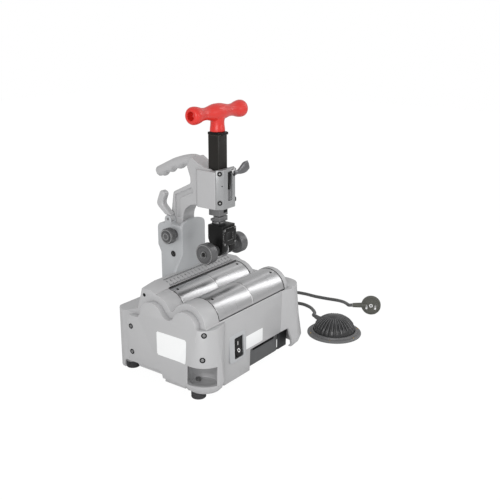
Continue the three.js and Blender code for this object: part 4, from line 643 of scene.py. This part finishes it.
piece(dressed("switch_frame", "switch_bezel", 0.8), black_plastic, "base", "casting", "switch_frame")
surround_outline = [[-75, 39, 6], [-28, 39, 6], [-28, 93, 6], [-75, 93, 6]]
window_outline = [[-61.5, 44, 3], [-34.5, 44, 3], [-34.5, 85, 3], [-61.5, 85, 3]]
surround = slab("switch_surround", surround_outline, -0.9, 2.4, "xz", 1.1, 3)
surround = combined(surround, slab("surround_hole", window_outline, -4, 6, "xz", 0), "DIFFERENCE")
middle = Matrix.Translation((0, 0, 0.066))
lean_back = Matrix.Rotation(-math.atan(FRONT_SLOPE), 4, "X")
to_front = Matrix.Translation((0, front_face(66) * MM - 0.0012, 0))
surround.transform(to_front @ middle @ lean_back @ middle.inverted())
piece(surround, pale_enamel, "base", "casting")
piece(dressed("rocker", "rocker_paddle", 0.7), black_plastic, "rocker", "black", "rocker")
bar_mark = [rocker_point(x, z) for x, z in ((-0.8, 3), (0.8, 3), (0.8, 10), (-0.8, 10))]
piece(mesh_of("rocker_on_mark", bar_mark, [[0, 1, 2, 3]]), mark_white, "rocker", "black")
ring_mark, ring_faces = [], []
for step in range(24):
    turn = TURN * step / 24
    for radius in (2.3, 3.7):
        ring_mark.append(rocker_point(radius * math.cos(turn), -7 + radius * math.sin(turn)))
    on = (step + 1) % 24
    ring_faces.append([2 * step, 2 * step + 1, 2 * on + 1, 2 * on])
piece(mesh_of("rocker_off_mark", ring_mark, ring_faces), mark_white, "rocker", "black")

# Bare plates: one of white vinyl on the front and one on the left face, with nothing on them.
# The left one is laid on the cover's own surface, point by point, so it follows its shape.
ACROSS, UP = 36, 24
label_white = material("label_vinyl", srgb(243, 244, 244), 0.35, bump=0.03, mottle=0.01, coat=0.2)
plate_outline = [[-25, 50, 1], [27, 50, 1], [27, 76, 1], [-25, 76, 1]]
rating_plate = slab("rating_plate", plate_outline, front_face(62) - 0.5, front_face(62) + 1.2, "xz", 0.15)
piece(rating_plate, label_white, "base", "casting")
skin = BVHTree.FromPolygons([v.co for v in left_cover.vertices], [p.vertices for p in left_cover.polygons])
label_points, label_faces = [], []
for row in range(UP + 1):
    for column in range(ACROSS + 1):
        y, z = 26 - 69 * column / ACROSS, 59 + 45 * row / UP
        hit = skin.ray_cast(Vector((-0.2, y * MM, z * MM)), Vector((1, 0, 0)))[0]
        label_points.append((hit.x / MM - 0.2, y, z))
for row in range(UP):
    for column in range(ACROSS):
        corner = row * (ACROSS + 1) + column
        if row in (0, UP - 1) and column in (0, ACROSS - 1):
            continue
        label_faces.append([corner, corner + ACROSS + 1, corner + ACROSS + 2, corner + 1])
piece(mesh_of("face_label", label_points, label_faces), label_white, "base", "casting")

# Scale: ticks and plain numbers in centimetres from the cutting plane, printed on the deck that
# rises behind the rear roller. A thin dark strip of painted shadow runs along the deck's lower edge.
SCALE_HALF = 92
DIGIT_SIZE = 8.0
mark_dark = material("printed_mark", srgb(46, 47, 50), 0.6, grain=1500, bump=0.02, mottle=0.15)
deck_low, deck_high = Vector((0, ROLLER_Y, 166.4)), Vector((0, 64.5, 178))
up_deck = (deck_high - deck_low).normalized()
deck_out = Vector((0, -up_deck.z, up_deck.y))


def deck_point(x, along, lift=0.12):
    return Vector((x, 0, 0)) + deck_low + up_deck * along + deck_out * lift


tick_points, tick_faces = [], []
for row in ("lower", "upper"):
    for millimetre in range(-SCALE_HALF, SCALE_HALF + 1, 2):
        low, high = (3.4, 9.9 if millimetre % 10 == 0 else 7.0) if row == "lower" else (20.5, 24.0)
        start = len(tick_points)
        for x, along in ((-0.45, low), (0.45, low), (0.45, high), (-0.45, high)):
            tick_points.append(tuple(deck_point(millimetre + x, along)))
        tick_faces.append([start, start + 1, start + 2, start + 3])
# Painted shadow: a thin dark strip along the deck's lower edge.
gap_corners = ((-100, 0.1), (100, 0.1), (100, 2.1), (-100, 2.1))
gap_points = [tuple(deck_point(x, along, 0.2)) for x, along in gap_corners]
piece(mesh_of("deck_gap_shadow", gap_points, [[0, 1, 2, 3]]), painted_shadow, "base", "dark")
piece(mesh_of("scale_ticks", tick_points, tick_faces), mark_dark, "base", "casting")
digits = []
for number in range(-9, 10):
    text = bpy.data.curves.new("digit", "FONT")
    text.body = str(abs(number))
    text.size = DIGIT_SIZE * MM
    text.align_x = "CENTER"
    holder = bpy.data.objects.new("digit", text)
    bpy.context.scene.collection.objects.link(holder)
    mesh = bpy.data.meshes.new_from_object(holder.evaluated_get(bpy.context.evaluated_depsgraph_get()))
    bpy.data.objects.remove(holder)
    basis = Matrix((Vector((1, 0, 0)), up_deck, deck_out)).transposed().to_4x4()
    mesh.transform(Matrix.Translation(deck_point(number * 10, 12.4) * MM) @ basis)
    digits.append(mesh)
piece(merged("scale_numbers", digits), mark_dark, "base", "casting")

# Post: the casting at the back with its shield and two cheeks, bolted to the base. A steel pin
# through the cheeks carries the arm, and its blackened socket head shows on the left.
blacked = material(
    "black_oxide", srgb(17, 17, 17), 0.36, gloss=0.2, grain=1200, bump=0.12, mottle=0.15,
    edge=srgb(135, 135, 134), edge_width=0.9,
)
piece(dressed("post", "post_casting", 0.9), pale_enamel, "base", "casting", "post")
screw("pivot_socket", (-33, 87.5, 205), (-1, 0, 0), 5.0, blacked, "base", 0.5)
kept(blacked, "arm_pivot_pin")

# Clamp knob: a turned steel knob on the left cheek, knurled round its grip, with a phosphated
# finish. Two bright turned rings show on its face.
KNOB_CENTRE = (0, 83, 245)
guide_dark = material(
    "phosphated_steel", srgb(100, 100, 101), 0.36, 0.5, bump=0.10, mottle=0.10, edge=srgb(150, 150, 150),
    edge_width=0.6,
)
rim_bright = material("turned_ring_and_highlight", srgb(190, 190, 190), 0.3, 0.9, bump=0.03, mottle=0.05)


def knurl(turn, radius, along):
    return 0.45 * (1 if math.cos(turn * 36) > 0 else -1) if radius > 13.6 and -60 < along < -42 else 0.0


knob_profile = [
    [0, -17.3], [5, -17.3], [5, -33.3], [9, -33.3, 0.5], [9, -37.3, 0.5], [7, -37.3], [7, -42.3],
    [13, -42.3, 0.4], [14.3, -43.6], [14.3, -55], [13, -56.3, 0.4], [10.5, -56.3], [9.8, -55.6],
    [8.6, -55.6], [8.6, -57.6, 0.5], [4.6, -57.6], [4.2, -56.8], [0, -56.8],
]
knob = lathe("clamp_knob_turned", knob_profile, KNOB_CENTRE, sides=144, wave=knurl)
piece(knob, guide_dark, "knob", "dark", "clamp_knob")
for number, (inner, low) in enumerate([(12.0, -56.5), (5.4, -57.8)], 1):
    outer, high = inner + 0.8, low + 0.4
    band = [[inner, low], [inner, high], [outer, high], [outer, low], [inner, low]]
    piece(lathe(f"knob_ring_{number}", band, KNOB_CENTRE, sides=64), rim_bright, "knob", "dark")

# Arm: one casting of block, arch, leg and carrying grip, in the housing's enamel. The grip's
# underside has finger waves, the crown falls to the front, and each side has a sunk panel.


def smooth_line(points, count):
    """Points of a smooth curve through the points given, evenly spread between each pair."""
    ends = [2 * np.array(points[0], float) - points[1], 2 * np.array(points[-1], float) - points[-2]]
    line = np.array([ends[0], *points, ends[1]], float)
    made = []
    for at in range(1, len(line) - 2):
        p0, p1, p2, p3 = line[at - 1 : at + 3]
        for step in range(count):
            t = step / count
            square, cube = 2 * p0 - 5 * p1 + 4 * p2 - p3, 3 * p1 - p0 - 3 * p2 + p3
            made.append(0.5 * (2 * p1 + (p2 - p0) * t + square * t * t + cube * t**3))
    return [tuple(p) for p in made] + [tuple(line[-2])]


def tube(name, route, sections):
    """Skins a row of closed sections, each a list of offsets (across, up) set square to the route."""
    route = [Vector(p) for p in route]
    points, faces = [], []
    count = len(sections[0])
    across = None
    for at, place in enumerate(route):
        way = (route[min(at + 1, len(route) - 1)] - route[max(at - 1, 0)]).normalized()
        if across is None:
            across = frame_along(way)[2]
        across = (across - way * across.dot(way)).normalized()
        up = way.cross(across)
        points += [tuple(place + across * a + up * b) for a, b in sections[at]]
    for ring in range(len(route) - 1):
        low, high = ring * count, (ring + 1) * count
        for step in range(count):
            on = (step + 1) % count
            faces.append([low + step, low + on, high + on, high + step])
    faces.append(list(range(count))[::-1])
    faces.append([len(points) - count + step for step in range(count)])
    return mesh_of(name, points, faces, 60)


def node_mesh(node):
    """A plain copy of a CAD node's mesh, its points joined up."""
    bm = bmesh.new()
    bm.from_mesh(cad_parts[node].data)
    bmesh.ops.remove_doubles(bm, verts=bm.verts, dist=2e-6)
    mesh = bpy.data.meshes.new(node + "_copy")
    bm.to_mesh(mesh)
    bm.free()
    return mesh


def fused(name, meshes, voxel, rounds):
    """Grows several overlapping meshes into one casting with soft fillets where they meet."""

    def build(holder):
        grown = holder.modifiers.new("grow", "REMESH")
        grown.mode = "VOXEL"
        grown.voxel_size = voxel * MM
        eased = holder.modifiers.new("ease", "SMOOTH")
        eased.factor = 0.5
        eased.iterations = rounds

    made = evaluated(merged(name, meshes), build)
    made.name = name
    made.shade_smooth()
    return made


grip_line = [(0, 21, 362), (0, 40, 372.5), (0, 62, 382.5), (0, 99, 373), (0, 124, 361), (0, 148, 350)]
grip_line = smooth_line(grip_line, 12)
grip_sections = []
for at in range(len(grip_line)):
    share = at / (len(grip_line) - 1)
    wave = 2.3 * math.cos(TURN * 6.2 * share) if 0.34 < share < 0.97 else 0.0
    end = 1 - 0.45 * max(0.0, (share - 0.93) / 0.07) ** 2
    ring = []
    for step in range(32):
        turn = TURN * step / 32
        up = 10.6 * math.sin(turn) * end - wave * max(0.0, math.sin(turn))
        ring.append((12.2 * math.cos(turn) * end, up))
    grip_sections.append(ring)
arm = fused("arm_casting", [node_mesh("arm"), tube("grip", grip_line, grip_sections)], 1.25, 4)
crown = [[4, 373.5], [21, 375], [36, 381], [50, 390], [58, 396], [58, 404], [4, 404]]
arm = combined(arm, slab("crown", crown, -40, 40, "yz", 0), "DIFFERENCE")
panel = [[94, 274, 3], [82, 274, 3], [82, 311, 3], [50, 325, 3], [50, 336, 3], [94, 316, 3]]
for low, high in ((-25, -12.6), (12.6, 25)):
    arm = combined(arm, slab("panel", panel, low, high, "yz", 0), "DIFFERENCE")
piece(arm, enamel, "arm", "casting", "arm")

# Hold-down lever: a curved cast lever on the left cheek, enamelled as the housing is. It swings
# on a plated pin through its knuckle.
hold_down = fused("hold_down_lever_casting", [node_mesh("hold_down_lever")], 0.8, 3)
piece(hold_down, enamel, "lever", "casting", "hold_down_lever")
kept(plated, "lever_pin")

# Guide cover: a satin metal plate with bevelled ends, four black socket screws and a wide slot.
# A bright disc in each screw's socket is a painted highlight.
# A dark wedge, a steel bed and the boss of the clamp lever sit in and beside the slot.
guide_satin = material(
    "satin_cover", srgb(158, 159, 160), 0.34, 0.4, grain=1400, bump=0.06, mottle=0.05, soft_edge=0.9,
    edge=srgb(225, 225, 226), edge_width=1.2,
)
brass = material("brass", srgb(190, 160, 100), 0.3, 1.0, bump=0.05, mottle=0.08)
cover_outline = [[-26, -10.4, 1], [26, -10.4, 1], [26, -13], [17, -22, 2], [-17, -22, 2], [-26, -13]]
cover_slot = [[-4.4, 317, 3], [9.6, 317, 3], [9.6, 371, 3], [-4.4, 371, 3]]
cover = slab("guide_cover_plate", cover_outline, 303.6, 375.5, "xy", 1.2)
cover = combined(cover, slab("slot", cover_slot, -23, -17.6, "xz", 0), "DIFFERENCE")
piece(cover, guide_satin, "arm", "casting", "guide_cover")
kept(brass, "gib_strip")
slant = math.sqrt(0.5)
for number, (side, height) in enumerate([(-1, 369.5), (-1, 316.5), (1, 369.5), (1, 316.5)], 1):
    spot, way = (side * 21.6, -17.1, height), (side * slant, -slant, 0)
    screw(f"guide_cover_screw_{number}", spot, way, 4.4, blacked, "arm", 2.6)
    # A small bright disc in each socket, painted highlight.
    ring = lathe(f"guide_screw_ring_{number}", [[0, 1.0], [1.5, 1.0], [1.5, 1.5], [0, 1.5]], spot, way, 24)
    piece(ring, rim_bright, "arm", "dark")
# A small dark dot in the painted shadow colour.
screw("guide_cover_dot_shadow", (-18.6, -20.2, 347), (-0.707, -0.707, 0), 1.3, painted_shadow, "arm", 0.2, False)
wedge_outline = [[-3.6, 370, 0.6], [0.6, 338, 0.6], [4.2, 338, 0.6], [5.6, 370, 0.6]]
piece(slab("slot_wedge", wedge_outline, -21.6, -17.4, "xz", 0.3), blacked, "arm", "black")
bed_outline = [[-1.2, 319, 0.6], [5.6, 319, 0.6], [5.6, 337, 0.6], [-1.2, 337, 0.6]]
piece(slab("slot_bed", bed_outline, -19.4, -17.4, "xz", 0.3), steel, "arm", "steel")
boss_profile = [[0, -6], [5.6, -6], [5.6, 1.6, 1.6], [3.0, 2.4, 0.4], [0, 2.4]]
boss = lathe("wing_boss", boss_profile, (12.5, -22.2, 369.4), (0, -1, 0), 32)
piece(boss, rim_bright, "arm", "bright")

# Clamp lever: a short chromed wing on the boss, forged thin at its root and fat at its end.
# It is skinned over round sections along its rising line.
chrome = material("dark_chrome", srgb(120, 120, 122), 0.34, 0.9, grain=500, bump=0.03, mottle=0.06)
wing_line = [(10, -24.6, 366.4), (20, -24.6, 367), (30, -25.2, 369.2), (40, -26, 373), (50, -27, 376.5)]
wing_halves = [(3.4, 4.8), (2.6, 3.8), (3.0, 7.4), (3.6, 10.4), (2.0, 8.6)]
wing_rings = []
for a, b in smooth_line(wing_halves, 6):
    wing_rings.append([(a * math.cos(TURN * k / 24), b * math.sin(TURN * k / 24)) for k in range(24)])
wing = tube("clamp_lever_wing", smooth_line(wing_line, 6), wing_rings)
piece(wing, chrome, "clamp_lever", "bright", "clamp_lever")

# Feed tube: a square steel tube with rounded corners, painted black and worn pale at its edges.
# A flat collar with a tab closes its top, and the steel feed screw runs inside it.
tube_black = material(
    "tube_paint", srgb(30, 28, 25), 0.4, gloss=0.25, grain=700, bump=0.06, mottle=0.12,
    edge=srgb(176, 170, 154), edge_width=1.1, coat=0.1,
)
tube_outline = [[-12.5, -8.5, 2.4], [12.5, -8.5, 2.4], [12.5, 16.5, 2.4], [-12.5, 16.5, 2.4]]
piece(slab("feed_tube_square", tube_outline, 330, 435, "xy", 0.4), tube_black, "tube", "tube", "feed_tube")
piece(dressed("tube_collar", "tube_collar_plate", 0.6), blacked, "tube", "black", "tube_collar")
kept(steel, "feed_screw")

# T-handle: one red moulding, a waisted bar with hollow ends on a flared stem.
# The two are turned apart and then grown together, with a fillet where they meet.
BAR_LEFT, BAR_RIGHT, BAR_DRAWN = 72, 76, 74
red_paint = material("red_moulding", srgb(218, 44, 36), 0.38, grain=1300, bump=0.10, mottle=0.05, coat=0.15)
half_bar = [
    [15.3, 0], [15.0, 9], [13.2, 19], [11.4, 28], [10.9, 36], [12.0, 46], [14.4, 55], [15.6, 63],
    [15.0, 69], [12.6, 72.6],
]
bar_line = [[radius, -along * BAR_LEFT / BAR_DRAWN] for radius, along in reversed(half_bar)]
bar_line += [[radius, along * BAR_RIGHT / BAR_DRAWN] for radius, along in half_bar[1:]]
bar_left_end = [[0, -56], [7.6, -56], [7.8, -71.2], [9.8, -71.8]]
bar_right_end = [[9.8, 75.6], [7.8, 75.0], [7.6, 60], [0, 60]]
bar = lathe("bar", [*bar_left_end, *smooth_line(bar_line, 5), *bar_right_end], (0, 4.8, 474), sides=72)
stem_profile = [
    [0, 440.4], [13.7, 440.4, 0.6], [13.5, 446], [12.6, 452], [12.4, 458], [13.2, 462], [14, 466], [0, 470],
]
stem = lathe("stem", stem_profile, (0, 4, 0), (0, 0, 1), 72)
piece(fused("t_handle_moulding", [bar, stem], 0.8, 4), red_paint, "handle", "red", "t_handle")

# Head slide: the machined steel block that the feed screw moves, with a window, a step and a shoe
# under it. The window is painted shadow, and a neck in the painted shadow colour joins it to the fork.
shadow_patch = [[0.5, 292.5], [10.5, 292.5], [10.5, 301], [0.5, 301]]
step_outline = [[-12.2, -8.2, 0.6], [12.2, -8.2, 0.6], [12.2, 4, 0.6], [-12.2, 4, 0.6]]
shoe = [[-9.5, -7, 0.6], [13.6, -7, 0.6], [13.6, 15, 0.6], [-9.5, 15, 0.6]]
neck = [[-8.4, -5.2, 0.6], [9.6, -5.2, 0.6], [9.6, 12, 0.6], [-8.4, 12, 0.6]]
piece(dressed("head_slide", "head_slide_block", 0.6), steel, "head", "steel", "head_slide")
# The window is a thin dark patch of painted shadow.
piece(slab("slide_window_shadow", shadow_patch, -8.6, -8.0, "xz", 0.2), painted_shadow, "head", "black")
piece(slab("slide_step", step_outline, 281.2, 286.4, "xy", 0.5), steel, "head", "steel")
piece(slab("slide_shoe", shoe, 276.6, 281.2, "xy", 0.5), steel, "head", "steel")
# The neck takes the painted shadow colour, for the shade under the shoe.
piece(slab("slide_neck", neck, 273.4, 276.6, "xy", 0.4), painted_shadow, "head", "steel")

# Cutter fork: a blackened steel fork with a thin plate on its front, held by four plated screws.
# The plate is bare, and its worn edges show bright.
plate_black = material(
    "head_plate", srgb(17, 17, 17), 0.3, gloss=0.2, grain=1200, bump=0.08, mottle=0.1,
    edge=srgb(225, 225, 225), edge_width=1.0,
)
piece(dressed("cutter_fork", "cutter_fork_block", 0.8), blacked, "head", "black", "cutter_fork")
piece(dressed("fork_plate", "fork_plate_cover", 0.5), plate_black, "head", "black", "fork_plate")
for number, (x, z) in enumerate([(-15, 238.5), (15, 238.5), (-15, 264.5), (15, 264.5)], 1):
    screw(f"fork_plate_screw_{number}", (x, -22.9, z), (0, -1, 0), 2.0, plated, "head", 0.9)

# Cutter wheel, guide rollers and axle: turned steel on one blackened pin through the fork.
# The wheel has a sharp rim, and each guide roller a long hub and two bright rings on its face.
AXLE = (0, -5, 226)
wheel_profile = [
    [5.4, -3.2], [9, -3.2, 0.3], [9, -2.2], [10.6, -2.2, 0.3], [15, -0.1], [15, 0.1], [10.6, 2.2, 0.3],
    [9, 2.2], [9, 3.2, 0.3], [5.4, 3.2], [5.4, -3.2],
]
wheel = lathe("cutter_wheel_disc", wheel_profile, AXLE)
piece(wheel, ground, "cutter_wheel", "bright", "cutter_wheel")
guide_profile = [
    [5.4, 53.2], [8.6, 53.2], [9.2, 53.8], [12.8, 53.8], [13.4, 53.0], [14.6, 53.0], [15.2, 54, 0.3],
    [18.2, 54, 0.8], [19.5, 52.4, 0.5], [19.5, 37.5, 0.6], [18, 36, 0.5], [9, 36, 0.8], [9, 18.8, 0.3],
    [5.4, 18.8], [5.4, 53.2],
]
for side, label in ((-1, "left"), (1, "right")):
    profile = [[radius, side * along, *corner] for radius, along, *corner in guide_profile]
    guide = lathe(f"{label}_guide_turned", profile, AXLE)
    piece(guide, guide_dark, f"{label}_guide", "dark", f"{label}_guide_roller")
    for number, (inner, low) in enumerate([(17.2, 53.9), (5.0, 54.3)], 1):
        outer, high = inner + 0.7, low + 0.25
        band = [[inner, low], [outer, low], [outer, high], [inner, high], [inner, low]]
        ring = lathe(f"{label}_guide_ring_{number}", [[r, side * a] for r, a in band], AXLE, sides=64)
        piece(ring, rim_bright, f"{label}_guide", "dark")
half_axle = [[0, -54.2], [2.4, -54.2], [2.6, -55.2], [4.4, -55.4], [4.9, -55.0]]
axle_profile = half_axle + [[radius, -along] for radius, along in reversed(half_axle)]
axle = lathe("cutter_axle_pin", axle_profile, AXLE, sides=48)
piece(axle, blacked, "head", "steel", "cutter_axle")

# Cord glands: two ribbed rubber boots in the right end cover, one for each lead.
# Each tapers in six steps from its flange to the cord.
GLAND_FROM, BOOT_STEPS = 150.4, 6
for label, y, reach in (("mains", MAINS_Y, 40), ("pedal", PEDAL_Y, 28)):
    profile = [[0, 142.4], [7.4, 142.4], [7.4, 150.8], [10.9, 150.8, 0.6], [10.9, 153.6, 0.8]]
    run = reach - 6
    for step in range(BOOT_STEPS):
        share = step / BOOT_STEPS
        at = 156 + run * share
        size = 7.3 - 2.4 * share
        profile += [[size, at, 0.3], [size - 0.2, at + run / 12, 0.3]]
        profile += [[size - 1.3, at + run / 12 + 0.3, 0.2], [size - 1.4, at + run / 6 - 0.3, 0.2]]
    profile += [[4.5, GLAND_FROM + reach, 0.4], [0, GLAND_FROM + reach]]
    gland = lathe(f"{label}_gland_boot", profile, (0, y, GLAND_HEIGHT), sides=64)
    piece(gland, cord_rubber, "base", "rubber", f"{label}_gland")

# Plug: a round plug of dark moulded plastic with its own boot, moulded on to the mains lead.
# It has two bright pins, an earth contact in its face and a recess round them.
PIN_OUT = 9.5
dark_plastic = material("dark_plastic", srgb(88, 88, 82), 0.5, grain=1500, bump=0.12, mottle=0.06)
plug_profile = [
    [0, -15.5], [12.4, -15.5, 1.2], [15, -13.4, 1.4], [15, -4.9, 1], [20.8, -4.6, 0.8], [21.5, -3.6, 0.4],
    [21.5, -1.5, 0.3], [21.2, -1.2], [21.5, -0.9], [21.5, 3.6, 0.8], [20.6, 4.5, 0.4], [18.6, 4.5, 0.4],
    [18.2, 3.4, 0.3], [0, 3.4],
]
boot_profile = [
    [0, 4], [6.8, 8, 1], [6.6, 21, 0.6], [5.6, 21.6, 0.3], [5.5, 24], [5.4, 30], [4.9, 41.6, 0.6], [0, 41.9],
]
plug_body = lathe("plug_moulding", plug_profile, PLUG_CENTRE, plug_way, 96)
plug_boot = lathe("plug_boot", boot_profile, PLUG_CENTRE, relief_way, 48)
piece(merged("plug_shell", [plug_body, plug_boot]), dark_plastic, "base", "black", "plug")
# The earth hole is a dark disc of painted shadow.
contacts = (("earth_contact", 4.2, 4.3, bright_ring), ("earth_hole_shadow", 1.7, 4.5, painted_shadow))
for name, radius, high, look in contacts:
    contact = lathe(name, [[0, 3.2], [radius, 3.2], [radius, high], [0, high]], PLUG_CENTRE, plug_way, 32)
    piece(contact, look, "base", "bright")
pin_profile = [[0, -4.4], [2.4, -4.4], [2.4, 17.4, 1.2], [1.2, 19, 0.5], [0, 19]]
pin_across = Vector((math.sin(PLUG_FACING), -math.cos(PLUG_FACING), 0))
for number, side in enumerate((-1, 1), 1):
    pin_foot = PLUG_CENTRE + pin_across * (side * PIN_OUT) + plug_way * 4.5
    pin = lathe(f"plug_pin_turned_{number}", pin_profile, pin_foot, plug_way, 32)
    piece(pin, bright_ring, "base", "bright", f"plug_pin_{number}")
[c * MM for c in mains_route[0]]
round(length_of(mains_route), 3)

# Pedal: a grey moulded flange, held by six brass screws, round a black rubber dome with thirty
# ribs, which the foot presses down. A rubber boot holds the pedal lead in the flange.
RIBS, PEDAL_SCREWS = 30, 6
DOME_RADIUS, DOME_FOOT, DOME_RISE = 44, -6.4, 33.4
flange_grey = material("pedal_moulding", srgb(104, 104, 105), 0.45, grain=1200, bump=0.12, mottle=0.06)
# Its pale edge colour paints highlights along the rib crests.
dome_rubber = material(
    "dome_rubber", srgb(46, 46, 47), 0.26, grain=1100, bump=0.08, mottle=0.1, edge=srgb(190, 190, 190),
    edge_width=1.0,
)
flange_profile = [
    [0, 0.2], [56.2, 0.2, 0.6], [57, 1.4, 0.5], [57, 3.6, 1.2], [54.4, 5.5, 1], [49.4, 5.5, 0.6],
    [48.4, 8.6, 0.6], [44.6, 8.9, 0.5], [44.5, 0.9], [0, 0.9],
]
flange_profile = [[radius, FLOOR + high, *corner] for radius, high, *corner in flange_profile]
flange = lathe("pedal_flange", flange_profile, PEDAL_CENTRE, (0, 0, 1), 128)
piece(flange, flange_grey, "base", "black", "pedal_base")


def dome_ribs(turn, radius, along):
    share = max(0.0, min(1.0, (radius - 13) / 14)) * max(0.0, min(1.0, (46 - radius) / 3))
    return -1.6 * share * (1 - (0.5 + 0.5 * math.cos(turn * RIBS)) ** 4)


dome_profile = [[41.5, DOME_FOOT], [DOME_RADIUS, DOME_FOOT]]
for step in range(1, 19):
    turn = math.radians(90 * step / 19)
    dome_profile.append([DOME_RADIUS * math.cos(turn), DOME_FOOT + DOME_RISE * math.sin(turn)])
dome_profile += [[0, 27]]
dome = lathe("pedal_dome_rubber", dome_profile, PEDAL_CENTRE, (0, 0, 1), 240, wave=dome_ribs, angle=80)
piece(dome, dome_rubber, "pedal", "rubber", "pedal_dome")
# Thin grey lines along the rib crests are painted highlights.
rib_section = [(0.62 * math.cos(TURN * k / 8), 0.62 * math.sin(TURN * k / 8)) for k in range(8)]
rib_highlights = []
for number in range(RIBS):
    turn = TURN * number / RIBS
    rib_line = []
    for step in range(9):
        lift = math.radians(22 + 48 * step / 8)
        reach, high = DOME_RADIUS * math.cos(lift), DOME_FOOT + DOME_RISE * math.sin(lift)
        rib_line.append(PEDAL_CENTRE + Vector((reach * math.cos(turn), reach * math.sin(turn), high)))
    rib_highlights.append(tube("rib", rib_line, [rib_section] * 9))
piece(merged("dome_rib_highlights", rib_highlights), flange_grey, "pedal", "rubber")
for number in range(PEDAL_SCREWS):
    turn = TURN * number / PEDAL_SCREWS + 0.35
    spot = PEDAL_CENTRE + Vector((math.cos(turn) * 52.2, math.sin(turn) * 52.2, FLOOR + 5.4))
    screw(f"pedal_screw_{number + 1}", spot, (0, 0, 1), 1.8, brass, "base", 0.7)
relief_profile = [[0, 0.4], [5.9, 0.4, 0.4], [5.9, 9, 0.6], [5.2, 9.6, 0.3], [4.7, 23.6, 0.5], [0, 24]]
relief_foot = PEDAL_CENTRE + pedal_way * 47.8 + Vector((0, 0, -2))
relief = lathe("pedal_boot", relief_profile, relief_foot, pedal_way, 48)
piece(relief, cord_rubber, "base", "rubber", "pedal_relief")
[c * MM for c in pedal_route[0]]
round(length_of(pedal_route), 3)

# Studio: a pale floor that goes white for the camera, a plain white world, and soft lamps.
# Two narrow lamps on the right draw the bright bands along the rollers.
HALF = 4000
floor_corners = [(-HALF, -HALF, FLOOR), (HALF, -HALF, FLOOR), (HALF, HALF, FLOOR), (-HALF, HALF, FLOOR)]
floor_mesh = mesh_of("floor", floor_corners, [[0, 1, 2, 3]])
floor_look = bpy.data.materials.new("floor_white")
floor_look.use_nodes = True
tree = floor_look.node_tree
matt = tree.nodes["Principled BSDF"]
matt.inputs["Base Color"].default_value = (0.86, 0.86, 0.86, 1)
matt.inputs["Roughness"].default_value = 0.9
plain = Socket(tree, matt.outputs["BSDF"])
glow = plain.add("ShaderNodeEmission", {}, {"Strength": 1.05}, "Emission")
seen = plain.add("ShaderNodeLightPath", {}, {}, "Is Camera Ray")
blend = plain.add("ShaderNodeMixShader", {}, {"Fac": 0.93 * seen, 1: plain, 2: glow}, "Shader")
blend.into(tree.nodes["Material Output"], "Surface")
floor_mesh.materials.append(floor_look)
floor = bpy.data.objects.new("floor", floor_mesh)
bpy.context.scene.collection.objects.link(floor)

world = bpy.data.worlds.new("studio")
bpy.context.scene.world = world
world.use_nodes = True
background = world.node_tree.nodes["Background"]
background.inputs["Color"].default_value = (1, 1, 1, 1)
seen = Socket(world.node_tree).add("ShaderNodeLightPath", {}, {}, "Is Camera Ray")
(0.60 + 0.40 * seen).into(background, "Strength")


def lamp(name, place, target, size, power):
    data = bpy.data.lights.new(name, "AREA")
    data.shape = "RECTANGLE"
    data.size, data.size_y = size
    data.energy = power
    made = bpy.data.objects.new(name, data)
    made.location = place
    made.rotation_mode = "QUATERNION"
    made.rotation_quaternion = (Vector(target) - Vector(place)).to_track_quat("-Z", "Y")
    bpy.context.scene.collection.objects.link(made)


lamp("key", (-1.6, -0.8, 0.8), (0, 0, 0.15), (0.9, 0.9), 15)
lamp("fill", (0.3, -1.7, 0.7), (0, 0, 0.12), (1.0, 0.6), 4)
lamp("top", (0.1, 0.5, 1.7), (0, 0, 0.15), (0.7, 1.0), 1)
lamp("strip", (1.37, -0.72, 1.05), (0, 0, 0.14), (0.3, 1.1), 3.4)
lamp("edge", (1.37, 0.29, 1.27), (0, 0, 0.14), (0.2, 1.0), 0.4)
bpy.context.scene.view_settings.view_transform = "Standard"

bpy.context.view_layer.update()
